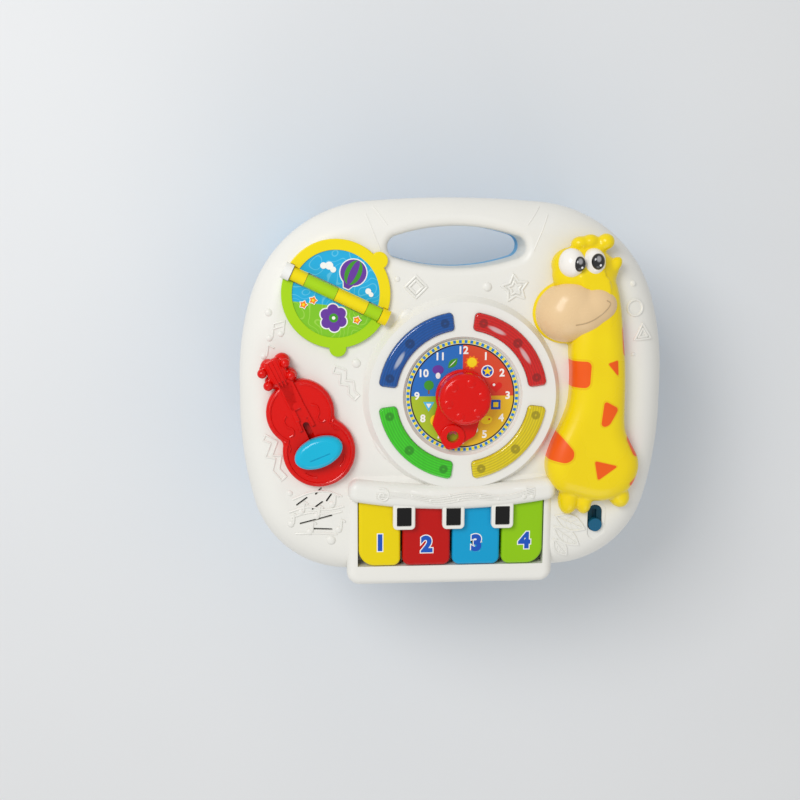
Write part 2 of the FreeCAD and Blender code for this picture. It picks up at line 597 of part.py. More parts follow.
def lens(number_of):
    """A clear lamp lens with two hollow posts below."""
    low = platform_top - size.lens_seat_depth
    high = platform_top + size.lens_proud
    body = lens_block(number_of, 0, low, high)
    body = body.makeFillet(size.lens_round, level_edges(body, high))
    posts = []
    for turn in (post_turn, 90 - post_turn):
        x, y = on_dial(lens_middle, 90 * number_of + turn)
        bottom = size.panel + size.platform_rise - size.platform_floor
        posts.append(Part.makeCylinder(size.lens_post_radius, low + 1 - bottom, Vector(x, y, bottom)))
    body = body.fuse(posts)
    for turn in (post_turn, 90 - post_turn):
        x, y = on_dial(lens_middle, 90 * number_of + turn)
        body = body.cut(Part.makeCylinder(size.post_screw_radius, high - 2 - bottom, Vector(x, y, bottom)))
    x, y = on_dial(lens_middle, 90 * number_of + 45)
    room = Part.makeCylinder(size.lamp_flange + size.running_gap, 2.5, Vector(x, y, low))
    return body.cut(room)


def dial_knob():
    """The red knob: flange, bumped dome, pointer with its window ring, and a shaft below."""
    low = dial_floor + size.dial_thickness + size.knob_lift
    middle = Vector(size.dial_x, size.dial_y, low)
    top = size.knob_flange_thickness
    flange = Part.makeCylinder(size.knob_flange_radius, top, middle)
    point_turn = math.radians(-90 + size.pointer_angle)
    ahead = Vector(math.cos(point_turn), math.sin(point_turn), 0)
    aside = Vector(-ahead.y, ahead.x, 0)
    tip = middle + ahead * size.pointer_reach
    width = size.pointer_half_width
    corners = [middle + aside * width, middle + ahead * size.pointer_shoulder + aside * width, tip,
               middle + ahead * size.pointer_shoulder - aside * width, middle - aside * width]
    arrow = Part.Face(Part.makePolygon(corners + corners[:1])).extrude(Vector(0, 0, top))
    sharp = [edge for edge in upright_edges(arrow)
             if (edge.CenterOfMass - middle).dot(ahead) > size.pointer_shoulder - 1]
    arrow = arrow.makeFillet(5, sharp)
    base = flange.fuse(arrow).removeSplitter()
    base = base.makeFillet(1.5, level_edges(base, low + top))
    lift = Vector(0, 0, top - 1)
    dome_height = size.knob_height - top + 1
    dome = Part.makeCone(size.knob_dome_radius, size.knob_dome_radius - 1.5, dome_height, middle + lift)
    dome = dome.makeFillet(4, level_edges(dome, (middle + lift).z + dome_height))
    bumps = []
    for step in range(int(round(size.knob_bumps))):
        turn = 2 * math.pi * step / size.knob_bumps
        spot = middle + lift + Vector(math.cos(turn), math.sin(turn), 0) * (size.knob_dome_radius - 2)
        bumps.append(Part.makeCylinder(size.knob_bump_radius, dome_height - 3, spot))
    window = middle + ahead * size.window_reach
    ring = Part.makeCylinder(size.window_ring_radius, size.window_ring_rise + 1, window + lift)
    ring = ring.makeFillet(0.9, level_edges(ring, (window + lift).z + size.window_ring_rise + 1))
    shaft_low = board_top - size.board_thickness - size.detent_drop
    shaft = Part.makeCylinder(size.shaft_radius, low + 1 - shaft_low, Vector(middle.x, middle.y, shaft_low))
    knob = base.fuse([dome, ring, shaft] + bumps)
    knob = knob.cut(Part.makeCylinder(size.window_radius, 40, window - Vector(0, 0, 5)))
    pilot = Part.makeCylinder(size.post_screw_radius, 12, Vector(middle.x, middle.y, shaft_low))
    return knob.cut(pilot).removeSplitter()


def on_violin(shape):
    """Turns and moves a shape from the violin's own axes to its place."""
    shape.rotate(Vector(), Vector(0, 0, 1), size.violin_angle)
    shape.translate(Vector(size.violin_x, size.violin_y, 0))
    return shape


def bouts(inset, low, high):
    """The violin's two round bouts as one solid, with smoothed waists."""
    lower = Part.makeCylinder(size.lower_bout - inset, high - low, Vector(0, 0, low))
    upper = Part.makeCylinder(size.upper_bout - inset, high - low, Vector(0, size.bout_distance, low))
    both = lower.fuse(upper).removeSplitter()
    waist = [edge for edge in upright_edges(both)
             if size.bout_distance * 0.1 < edge.CenterOfMass.y < size.bout_distance * 0.9]
    return both.makeFillet(size.waist_round, waist)


def violin_body():
    """The red violin: hollow bouts, a raised neck that forks over the slot, the head and four pegs."""
    panel = size.panel
    top = panel + size.violin_height
    body = bouts(0, panel, top)
    body = body.makeFillet(size.violin_round, level_edges(body, top))
    body = body.cut(bouts(size.violin_wall, panel - 1, top - size.violin_wall))
    neck_top = top + size.neck_rise
    half = size.neck_width / 2
    neck = rounded_box(-half, half, size.neck_start, size.neck_end, top - size.violin_wall + 0.5, neck_top, 2, 1.2)
    low_neck = rounded_box(-half, half, size.bout_distance + size.upper_bout - size.violin_wall - 1, size.neck_end,
                           panel, neck_top - 1, 2)
    side = size.head_side
    head = rounded_box(side - size.head_width / 2, side + size.head_width / 2,
                       size.head_along - size.head_length / 2, size.head_along + size.head_length / 2,
                       panel, neck_top + 1, 5, 2)
    pegs = []
    for across in (-1, 1):
        for along in (-0.5, 0.5):
            spot = Vector(side + across * size.peg_spread, size.head_along + along * size.peg_step,
                          panel + size.peg_radius + 2)
            pegs.append(Part.makeSphere(size.peg_radius, spot))
    posts = [Part.makeCylinder(3, size.violin_height - size.violin_wall + 0.5, post) for post in trim_posts("violin")]
    body = body.fuse([neck, low_neck, head]).fuse(pegs)
    slot = slot_solid(0, size.bow_rest - size.bow_short / 3, size.slot_top - size.slot_width / 2,
                      size.slot_width / 2, panel, top + 20)
    groove = slot_solid(0, size.neck_start - 6, size.neck_start + 12, size.slot_width / 2, top, top + 20)
    body = on_violin(body.cut(slot.fuse(groove)))
    body = body.fuse(posts)
    for post in trim_posts("violin"):
        body = body.cut(Part.makeCylinder(size.screw_radius, 5, post))
    return body.removeSplitter()


def trim_posts(kind):
    """Where the screws that hold a trim piece from inside the case come up."""
    spots = TRIM_SCREWS[:2] if kind == "giraffe" else TRIM_SCREWS[2:]
    return [Vector(x, y, size.panel) for x, y in spots]


def bow_parts():
    """The oval bow slider with its stem, and the carriage that holds it from below, in place."""
    under = size.panel + size.violin_height + size.bow_lift
    oval = Part.makeCylinder(1, size.bow_height, Vector(0, 0, under))
    stretch = FreeCAD.Matrix()
    stretch.scale(size.bow_long, size.bow_short, 1)
    oval = oval.transformGeometry(stretch)
    oval = oval.makeFillet(size.bow_height * 0.55, level_edges(oval, under + size.bow_height))
    oval.rotate(Vector(), Vector(0, 0, 1), size.bow_turn)
    oval.translate(Vector(0, size.bow_rest, 0))
    half = size.slot_width / 2 - size.running_gap
    low = size.panel + size.violin_height - size.violin_wall - size.running_gap
    stem = Part.makeBox(2 * half, 2 * half, under + 1 - low, Vector(-half, size.bow_rest - half, low))
    groove = slot_groove(under + size.bow_height)
    slider = oval.fuse(stem).removeSplitter().cut(groove)
    carriage = Part.makeBox(size.carriage_width, size.carriage_length, size.carriage_thickness,
                            Vector(-size.carriage_width / 2, size.bow_rest - size.carriage_length / 2,
                                   low - size.carriage_thickness))
    return on_violin(slider), on_violin(carriage)


def slot_groove(top):
    """The thin line across the bow slider."""
    groove = Part.makeBox(16, 0.8, 2, Vector(-8, size.bow_rest - 3.4, top - 0.6))
    groove.rotate(Vector(0, size.bow_rest, 0), Vector(0, 0, 1), size.bow_turn)
    return groove


def on_book(shape):
    """Turns and moves a shape from the book's own axes, hinge along X, to its place."""
    shape.rotate(Vector(), Vector(0, 0, 1), size.book_angle)
    shape.translate(Vector(size.book_x, size.book_y, 0))
    return shape


def along_x(radius, start, end, level):
    return Part.makeCylinder(radius, end - start, Vector(start, 0, level), Vector(1, 0, 0))


def hinge_level():
    return size.panel + size.hinge_rise


def knuckles(side):
    """Where a page's knuckles start and end along the hinge."""
    end, step = size.knuckle_end, size.knuckle_step
    spans = [(-end, -step), (0, step)] if side > 0 else [(-step, 0), (step, end)]
    gap = size.running_gap / 2
    return [(start + gap, stop - gap) for start, stop in spans]


def page(side):
    """A half-round page with a raised rim, a tab and two hinge knuckles; side is +1 or -1."""
    low = size.panel + size.page_lift
    high = low + size.page_thickness
    rim = high + size.page_rim_rise
    disc = Part.makeCylinder(size.page_radius, rim - low, Vector(0, 0, low))
    disc = disc.makeFillet(0.8, level_edges(disc, rim))
    tab = Part.makeCylinder(size.tab_radius, rim - low, Vector(
        size.tab_along, side * math.sqrt(size.page_radius ** 2 - size.tab_along ** 2), low))
    disc = disc.fuse(tab.makeFillet(0.8, level_edges(tab, rim))).removeSplitter()
    disc = disc.cut(Part.makeCylinder(size.label_radius, rim, Vector(0, 0, high)))
    keep = size.knuckle_radius + size.hinge_side_gap
    reach = size.page_radius + 2 * size.tab_radius
    start = keep if side > 0 else -keep - reach
    half = disc.common(Part.makeBox(2 * reach, reach, 20, Vector(-reach, start, low - 1)))
    parts = []
    for first, last in knuckles(side):
        parts.append(along_x(size.knuckle_radius, first, last, hinge_level()))
        near = 0 if side > 0 else -keep - 1
        parts.append(Part.makeBox(last - first, keep + 1, size.page_thickness, Vector(first, near, low)))
    leaf = half.fuse(parts).removeSplitter()
    bore = along_x(size.hinge_pin_radius + size.running_gap, -reach, reach, hinge_level())
    stand_gap = 2 * size.running_gap
    rooms = [along_x(size.bracket_radius + stand_gap, -reach, -size.knuckle_end, hinge_level()),
             along_x(size.cap_radius + stand_gap, size.knuckle_end, reach, hinge_level())]
    return on_book(leaf.cut(bore.fuse(rooms)))


def hinge_stand(start, length, radius):
    """A round hinge end on a foot that stands on the panel, bored for the pin."""
    level = hinge_level()
    barrel = along_x(radius, start, start + length, level)
    foot = Part.makeBox(length, 2 * radius * 0.8, level - size.panel, Vector(start, -radius * 0.8, size.panel))
    stand = barrel.common(Part.makeBox(length, 4 * radius, 4 * radius, Vector(start, -2 * radius, size.panel)))
    return stand.fuse(foot).removeSplitter()


def hinge_stands():
    """The white end bracket and the yellow end cap."""
    start = -size.knuckle_end - size.bracket_length
    bracket = hinge_stand(start, size.bracket_length - size.running_gap, size.bracket_radius)
    cap = hinge_stand(size.knuckle_end + size.running_gap, size.bracket_length - size.running_gap, size.cap_radius)
    pin = hinge_pin_shape()
    return on_book(bracket.cut(pin)), on_book(cap.cut(pin))


def hinge_pin_shape():
    reach = size.knuckle_end + size.pin_seat
    return along_x(size.hinge_pin_radius, -reach, reach, hinge_level())


def ellipsoid(x, y, z, long, wide, tall, turn=0.0):
    """A closed egg shape by its centre and three half lengths."""
    egg = Part.makeSphere(1)
    stretch = FreeCAD.Matrix()
    stretch.scale(long, wide, tall)
    egg = egg.transformGeometry(stretch)
    egg.rotate(Vector(), Vector(0, 0, 1), turn)
    egg.translate(Vector(x, y, z))
    return egg


# The giraffe's neck and body in plan from its own middle line, clockwise from under the muzzle.
GIRAFFE = [(-22, 44), (-21, 20), (-21.4, -2), (-26, -18), (-34, -36), (-38.4, -52), (-36, -65), (-28, -74.5),
           (-14, -79), (1, -82.5), (15, -80.5), (27, -73), (33.4, -60), (33.2, -48), (27, -36), (22, -24),
           (21.3, 0), (20.6, 22), (18.2, 46), (14, 78), (6, 96), (-13, 100)]
# Its round forms: centre, height of the centre above the panel, and the three half lengths.
FEET = [(-19.5, -80.5, 4, 8.4, 13, 10), (-7.5, -82, 4, 6.6, 11.5, 10), (20.5, -78, 4, 8.6, 10.5, 10)]
HAIR = [(-13.5, 118, 7, 10.5, 6, 7), (2, 118.5, 7, 8, 7, 8)]
HEAD = (-14, 94, 5, 27, 21, 14)
EAR = (10, 101, 8, 8, 5, 5, 35)
MUZZLE = (-20.4, 64.5, 5, 31, 22.5, 21, 3)
EYE_WHITES = [(-24, 102.5, 14, 10.5, 11.5, 10.5), (-6, 103, 14, 9.5, 11.2, 10.5)]
PUPILS = [(-20, 102.5, 22, 4.2, 5.8, 3.4), (-6.6, 103.4, 22, 4.8, 6, 3.4)]


def egg(form):
    """A round form of the giraffe, cut off at the panel."""
    x, y, rise, *rest = form
    shape = ellipsoid(size.giraffe_x + x, y, size.panel + rise, *rest)
    reach = 400
    return shape.common(Part.makeBox(reach, reach, reach, Vector(-reach / 2, -reach / 2, size.panel)))


def giraffe():
    """The giraffe's four pieces: yellow body, beige muzzle, eye whites and pupils."""
    panel, middle = size.panel, size.giraffe_x
    spline = Part.BSplineCurve()
    spline.interpolate([Vector(middle + x, y, 0) for x, y in GIRAFFE], PeriodicFlag=True)
    face = Part.Face(Part.Wire(spline.toShape()))
    trunk = raised(face, panel, panel + size.giraffe_rise)
    trunk = trunk.makeFillet(size.giraffe_round, level_edges(trunk, panel + size.giraffe_rise))
    body = trunk
    for form in FEET + HAIR + [EAR, HEAD]:
        body = body.fuse(egg(form))
    room = size.giraffe_rise - size.giraffe_wall
    body = body.cut(Part.makeBox(26, 110, room, Vector(middle - 14, -72, panel - 1)))
    body = body.fuse([Part.makeCylinder(3.5, room, post) for post in trim_posts("giraffe")])
    for post in trim_posts("giraffe"):
        body = body.cut(Part.makeCylinder(size.screw_radius, 5, post))
    muzzle = egg(MUZZLE)
    notch = Vector(size.piano_right + size.fit_gap, size.piano_back + size.fit_gap, panel - 1)
    block = 50
    body = body.cut(Part.makeBox(block, block, size.giraffe_notch + 1, notch - Vector(block, block, 0)))
    body = body.cut(muzzle)
    pupils = [egg(form).cut(body).cut(muzzle) for form in PUPILS]
    whites = egg(EYE_WHITES[0]).fuse(egg(EYE_WHITES[1])).cut(muzzle).cut(body)
    return body, muzzle, whites.cut(Part.makeCompound(pupils)), Part.makeCompound(pupils)


def leg_section(width, thickness, bulge, level, start=0.0):
    """A leg's outline at one level: a bowed outer side, the rest straight; +X is outwards."""
    half = width / 2
    corners = [Vector(start - bulge, -half, level), Vector(start, 0, level), Vector(start - bulge, half, level),
               Vector(-thickness, half, level), Vector(-thickness, -half, level)]
    edges = [Part.Arc(*corners[:3]).toShape(), Part.makeLine(corners[2], corners[3]),
             Part.makeLine(corners[3], corners[4]), Part.makeLine(corners[4], corners[0])]
    return Part.Wire(edges)


def leg_place(shape, corner, radius, turn, left):
    """Turns a leg to face out of its corner, at the right or left end."""
    turn = 180 - turn if left else turn
    middle = Vector(-corner[0] if left else corner[0], corner[1], 0)
    ahead = Vector(math.cos(math.radians(turn)), math.sin(math.radians(turn)), 0)
    shape.rotate(Vector(), Vector(0, 0, 1), turn)
    shape.translate(middle + ahead * (radius - size.leg_inset))
    return shape


CORNERS = {
    "leg_rear_right": (rear_corner, size.rear_corner_radius, size.rear_leg_angle, False),
    "leg_rear_left": (rear_corner, size.rear_corner_radius, size.rear_leg_angle, True),
    "leg_front_right": (front_corner, size.front_corner_radius, -size.front_leg_angle, False),
    "leg_front_left": (front_corner, size.front_corner_radius, -size.front_leg_angle, True),
}


def spigot(grow, low, high):
    """The block on top of a leg that fills its socket in the tray, or the socket when grown."""
    middle = -size.leg_thickness / 2 - size.leg_bulge / 4
    half = (size.spigot_thickness / 2 + grow, size.spigot_width / 2 + grow)
    block = Part.makeBox(2 * half[0], 2 * half[1], high - low, Vector(middle - half[0], -half[1], low))
    return block.makeFillet(2 + grow, upright_edges(block))


def leg():
    """A tapered hollow leg, open on its inner side, with a spigot on top."""
    top = size.tray_floor
    foot = leg_section(size.leg_foot_width, size.leg_foot_thickness, size.leg_bulge / 2, 0)
    head = leg_section(size.leg_width, size.leg_thickness, size.leg_bulge, top)
    body = Part.makeLoft([foot, head], True, True)
    sides = [edge for edge in body.Edges if edge.BoundBox.ZLength > top / 2]
    body = body.makeFillet(size.leg_side_round, sides)
    body = body.makeFillet(size.leg_foot_round, level_edges(body, 0))
    wall = size.leg_wall
    low = leg_section(size.leg_foot_width - 2 * wall, size.leg_foot_thickness + 10, size.leg_bulge / 2, 3 * wall, -wall)
    high = leg_section(size.leg_width - 2 * wall, size.leg_thickness + 10, size.leg_bulge, top - wall, -wall)
    body = body.cut(Part.makeLoft([low, high], True, True))
    return body.fuse(spigot(0, top - 1, top + size.spigot_height)).removeSplitter()


def battery_room():
    """Half sizes of the cell bay, the cells' centre level and the bay's ceiling."""
    half_x = size.cell_length / 2 + size.contact_room
    half_y = 1.5 * size.cell_pitch + 0.5
    middle = size.tray_floor + size.door_thickness + size.cell_radius + size.running_gap
    return half_x, half_y, middle, middle + size.cell_radius + 2 * size.running_gap


def bottom_shell():
    """The light-blue tray: floor, wall, register rim, leg sockets, screw posts and the battery bay."""
    floor, rim = size.tray_floor, size.rim_level
    inset, wall = size.tray_inset, size.wall
    left, right, front = size.piano_left, size.piano_right, -size.half_depth
    case = raised(outline(inset), floor, rim)
    case = case.makeFillet(size.tray_round, level_edges(case, floor))
    lip = rounded_box(left + inset, right - inset, front + inset, size.piano_back, floor, rim, size.piano_corner - inset)
    lip = lip.makeFillet(size.tray_round, level_edges(lip, floor))
    thick = inset + wall
    inside = raised(outline(thick), floor + wall, rim + 20)
    inside = inside.makeFillet(size.tray_round - wall, level_edges(inside, floor + wall))
    lip_inside = rounded_box(left + thick, right - thick, front + thick, size.piano_back, floor + wall, rim + 20,
                             size.piano_corner - thick)
    shell = case.fuse(lip).cut(inside.fuse(lip_inside))
    outer_register = raised(outline(wall + size.fit_gap), rim - 3, rim + size.register_height)
    inner_register = raised(outline(wall + size.fit_gap + size.register_wall), rim - 4, rim + 20)
    housing = Part.makeBox(right - left + 2, size.front_edge, 100, Vector(left - 1, -2 * size.front_edge + 10, rim - 50))
    register = outer_register.cut(inner_register.fuse(housing))
    collar = raised(eye_face(wall), floor, rim)
    posts = [Part.makeCylinder(size.boss_radius + 0.6, size.split_level - floor, Vector(x, y, floor))
             for x, y in CASE_SCREWS]
    sockets = [leg_place(spigot(wall, floor, floor + size.spigot_height + 1), *corner) for corner in CORNERS.values()]
    half_x, half_y, middle, ceiling = battery_room()
    grow = size.battery_wall
    bay = Part.makeBox(2 * (half_x + grow), 2 * (half_y + grow), ceiling + grow - floor,
                       Vector(size.battery_x - half_x - grow, size.battery_y - half_y - grow, floor))
    lip_x, lip_y = half_x + size.door_lip, half_y + size.door_lip
    ledge = Part.makeBox(2 * lip_x + 4, 2 * lip_y + 4, size.door_thickness + 2,
                         Vector(size.battery_x - lip_x - 2, size.battery_y - lip_y - 2, floor))
    door_post = Part.makeCylinder(size.boss_radius, 12, Vector(door_screw_x(), size.battery_y, floor))
    shell = shell.fuse([register, collar, bay, ledge, door_post] + posts + sockets)
    cuts = [raised(eye_face(0), floor - 1, rim + 1)]
    cuts += [leg_place(spigot(size.fit_gap, floor - 1, floor + size.spigot_height + 2), *corner)
             for corner in CORNERS.values()]
    cuts.append(Part.makeBox(2 * half_x, 2 * half_y, ceiling - floor + 1,
                             Vector(size.battery_x - half_x, size.battery_y - half_y, floor - 1)))
    cuts.append(Part.makeBox(2 * lip_x, 2 * lip_y, size.door_thickness + 1,
                             Vector(size.battery_x - lip_x, size.battery_y - lip_y, floor - 1)))
    cuts.append(Part.makeCylinder(size.door_screw_radius, 9, Vector(door_screw_x(), size.battery_y, floor)))
    seat = size.split_level - size.head_seat_drop
    for x, y in CASE_SCREWS:
        cuts.append(Part.makeCylinder(size.screw_head_radius + size.running_gap, seat - floor + 1,
                                      Vector(x, y, floor - 1)))
        cuts.append(Part.makeCylinder(size.screw_radius, size.split_level, Vector(x, y, seat - 1)))
    return shell.cut(Part.makeCompound(cuts)).removeSplitter()


def door_screw_x():
    return size.battery_x + size.cell_length / 2 + size.contact_room + size.door_lip / 2


def screws(places, seat, length, head=None, radius=None):
    """Round-headed screws pointing up, as one group."""
    head = head or size.screw_head_radius
    radius = radius or size.screw_radius
    solids = []
    for x, y in places:
        shank = Part.makeCylinder(radius, length, Vector(x, y, seat))
        cap = Part.makeCylinder(head, size.screw_head_height, Vector(x, y, seat - size.screw_head_height))
        slot = Part.makeBox(2 * head, 0.8, 1, Vector(x - head, y - 0.4, seat - size.screw_head_height - 0.2))
        solids.append(cap.fuse(shank).cut(slot))
    return Part.makeCompound(solids)


def detent_wheel(low):
    """A notched wheel fixed on the knob's shaft."""
    middle = Vector(size.dial_x, size.dial_y, low)
    wheel = Part.makeCylinder(size.detent_radius, size.detent_thickness, middle)
    notches = []
    for step in range(12):
        turn = 2 * math.pi * step / 12
        spot = Vector(middle.x + size.detent_radius * math.cos(turn), middle.y + size.detent_radius * math.sin(turn),
                      low - 1)
        notches.append(Part.makeCylinder(1.2, size.detent_thickness + 2, spot))
    bore = Part.makeCylinder(size.shaft_radius, size.detent_thickness + 2, middle - Vector(0, 0, 1))
    return wheel.cut(Part.makeCompound(notches + [bore]))


def lead(points):
    """A wire lead: straight runs joined by tangent arcs."""
    spots = [Vector(*point) for point in points]
    edges = []
    start = spots[0]
    for before, corner, after in zip(spots, spots[1:], spots[2:]):
        back = (before - corner).normalize()
        ahead = (after - corner).normalize()
        half = back.getAngle(ahead) / 2
        setback = size.lead_bend / math.tan(half)
        first, last = corner + back * setback, corner + ahead * setback
        inward = (back + ahead).normalize()
        middle = corner + inward * (size.lead_bend / math.sin(half) - size.lead_bend)
        edges.append(Part.makeLine(start, first))
        edges.append(Part.Arc(first, middle, last).toShape())
        start = last
    edges.append(Part.makeLine(start, spots[-1]))
    path = Part.Wire(edges)
    ring = Part.Wire(Part.Circle(spots[0], spots[1] - spots[0], size.lead_radius).toShape())
    tube = path.makePipeShell([ring], True, False)
    length = sum(edge.Length for edge in edges)
    print("lead length %.1f mm, bend %.1f mm, volume over section times length %.3f" % (
        length, size.lead_bend, tube.Volume / (math.pi * size.lead_radius ** 2 * length)))
    return tube


def speaker_lead(turn):
    """A lead from the slanted frame of the loudspeaker to the underside of the board."""
    around = math.radians(turn)
    radial = Vector(math.cos(around), math.sin(around), 0)
    rim = Vector(size.speaker_x, size.speaker_y, size.panel - size.speaker_drop)
    slope = Vector(size.speaker_radius - 12, 0, 7.5)
    outward = (radial * slope.z - Vector(0, 0, slope.x)).normalize()
    tag = rim + radial * (10 + slope.x / 2) + Vector(0, 0, slope.z / 2 - 9)
    start = tag + outward * size.running_gap
    under_board = board_top - size.board_thickness
    end = Vector(size.dial_x - 58, size.dial_y - 50 + turn / 5, under_board)
    return lead([start, start + outward * 9, end - Vector(0, 0, 14), end])


# The case, its legs and everything that carries the table.
feature("top_shell", top_shell())
feature("bottom_shell", bottom_shell())
for label, corner in CORNERS.items():
    feature(label, leg_place(leg(), *corner))

# The piano: keys on a steel rod over rubber domes, and the black inserts.
feature("black_keys", black_keys())
for number_of, colour in enumerate(KEYS):
    feature("key_" + colour, key(number_of))
rod_start = "keys_left - key_side_gap - key_well_wall + fit_gap + 0.5"
KEYS_WIDE = "2 * outer_key_width + 2 * inner_key_width + 3 * key_gap"
piece("key_pivot_rod", cylinder(
    "key_rod_radius", KEYS_WIDE + " + 2 * (key_side_gap + key_well_wall) - 2 * fit_gap - 1",
    (rod_start, "key_pivot_y", "panel + key_top_rise - key_thickness / 2 - key_pivot_drop"), (0, 1, 0, 90)))
KEY_BOARD = "panel + key_top_rise - well_floor_drop - key_board_thickness"
piece("key_board", plate("key_board", KEYS_WIDE + " - 2", "30", "key_board_thickness", "2",
                         "keys_left + (" + KEYS_WIDE + ") / 2", "plunger_y", KEY_BOARD))
for number_of, colour in enumerate(KEYS):
    left, right = key_span(number_of)
    dome_height = "well_floor_drop - key_thickness - plunger_length - running_gap"
    turned("key_dome_" + colour, [("0", "0"), ("dome_radius", "0"), ("dome_radius", "0.8"),
                                  ("plunger_radius - 0.5", dome_height), ("0", dome_height)],
           (left + right) / 2, "plunger_y", "panel + key_top_rise - well_floor_drop")

# The clock: dial, lenses over their lamps, and the knob on its shaft.
piece("dial_plate", cut(
    cylinder("dial_radius", "dial_thickness", ("dial_x", "dial_y", "panel + platform_rise - dial_recess_depth")),
    cylinder("shaft_radius + running_gap", "dial_thickness * 3",
             ("dial_x", "dial_y", "panel + platform_rise - dial_recess_depth - dial_thickness"))))
for number_of, colour in enumerate(LENSES):
    feature("lens_" + colour, lens(number_of))
post_places = [on_dial(lens_middle, 90 * quarter + turn) for quarter in range(4) for turn in (post_turn, 90 - post_turn)]
feature("lens_screws", screws(post_places, platform_top - size.platform_floor, size.lens_screw_length, 3.2,
                              size.post_screw_radius))
feature("dial_knob", dial_knob())
shaft_end = board_top - size.board_thickness - size.detent_drop
feature("detent_wheel", detent_wheel(shaft_end + 2))
feature("knob_screw", screws([(size.dial_x, size.dial_y)], shaft_end, 11, 5, size.post_screw_radius))

# The electronics: board, lamps, parts, power switch and loudspeaker.
BOARD = "panel - wall - board_drop"
board = plate("board_blank", "board_width", "board_depth", "board_thickness", "4", "dial_x", "dial_y", BOARD)
holes = [cylinder("board_shaft_hole", "board_thickness * 3", ("dial_x", "dial_y", BOARD + " - board_thickness"))]
holes += [cylinder("screw_radius", "board_thickness * 3", (x, y, BOARD + " - board_thickness"))
          for x, y in BOARD_SCREWS]
piece("main_board", cut(board, *holes))
lamps = []
for quarter in range(4):
    x, y = on_dial(lens_middle, 90 * quarter + 45)
    stem = cylinder("lamp_radius", "board_drop + wall + platform_rise - lens_seat_depth - 1 - board_thickness",
                    (x, y, BOARD + " + board_thickness"))
    bulb = primitive("Sphere", (x, y, "panel + platform_rise - lens_seat_depth - 1"), None, Radius="lamp_radius")
    collar = cylinder("lamp_flange", "1", (x, y, BOARD + " + board_thickness"))
    lamps.append(join(stem, bulb, collar))
piece("lamps", group(*lamps))
chips = [box("14", "10", "1.6", ("dial_x + 20", "dial_y + 15", BOARD + " - 1.6")),
         box("8", "6", "1.4", ("dial_x - 40", "dial_y + 20", BOARD + " - 1.4")),
         cylinder("3", "8", ("dial_x - 35", "dial_y - 25", BOARD + " - 8")),
         cylinder("2.5", "6", ("dial_x - 27", "dial_y - 25", BOARD + " - 6"))]
piece("board_parts", group(*chips))
feature("board_screws", screws(BOARD_SCREWS, board_top - size.board_thickness, size.board_screw_bite))
speaker_at = ("speaker_x", "speaker_y", "panel - speaker_drop")
turned("speaker_basket", [("6", "-9"), ("10", "-9"), ("speaker_radius - 2", "-1.5"), ("speaker_radius", "-1.5"),
                          ("speaker_radius", "0"), ("speaker_radius - 2.5", "0"), ("8.5", "-8"), ("6", "-8")], *speaker_at)
turned("speaker_magnet", [("0", "-15"), ("9.5", "-15"), ("9.5", "-9"), ("0", "-9")], *speaker_at)
turned("speaker_cone", [("0", "-8"), ("8.5", "-8"), ("speaker_radius - 2.5", "0"), ("speaker_radius - 3.3", "0"),
                        ("7.5", "-7.2"), ("4", "-7.2"), ("0", "-5.5")], *speaker_at)
switch_wide = "2 * (switch_hole_radius + switch_body_wall)"
piece("switch_body", cut(
    plate("switch_blank", switch_wide, "switch_travel + " + switch_wide, "switch_body_height", "switch_body_corner",
          "switch_x", "switch_y + switch_travel / 2", "panel - wall - switch_body_gap - switch_body_height"),
    box("3 + 2 * running_gap", "switch_travel + 3 + 2 * running_gap", "4",
        ("switch_x - 1.5 - running_gap", "switch_y - 1.5 - running_gap", "panel - wall - 3"))))
piece("power_switch_knob", join(
    cylinder("switch_knob_radius", "wall + 1.5 - running_gap", ("switch_x", "switch_y", "panel - wall + running_gap")),
    box("3", "3", "3", ("switch_x - 1.5", "switch_y - 1.5", "panel - wall - 2.4"))))

# The violin, the book and the giraffe.
feature("violin_body", violin_body())
slider, carriage = bow_parts()
feature("bow_slider", slider)
feature("slider_carriage", carriage)
feature("page_yellow", page(1))
feature("page_green", page(-1))
bracket, cap = hinge_stands()
feature("hinge_bracket", bracket)
feature("hinge_cap", cap)
feature("hinge_pin", on_book(hinge_pin_shape()))
for label, shape in zip(["giraffe_body", "giraffe_muzzle", "giraffe_eyes", "giraffe_pupils"], giraffe()):
    feature(label, shape)
feature("trim_screws", screws(TRIM_SCREWS, size.panel - size.wall, size.wall + 4))

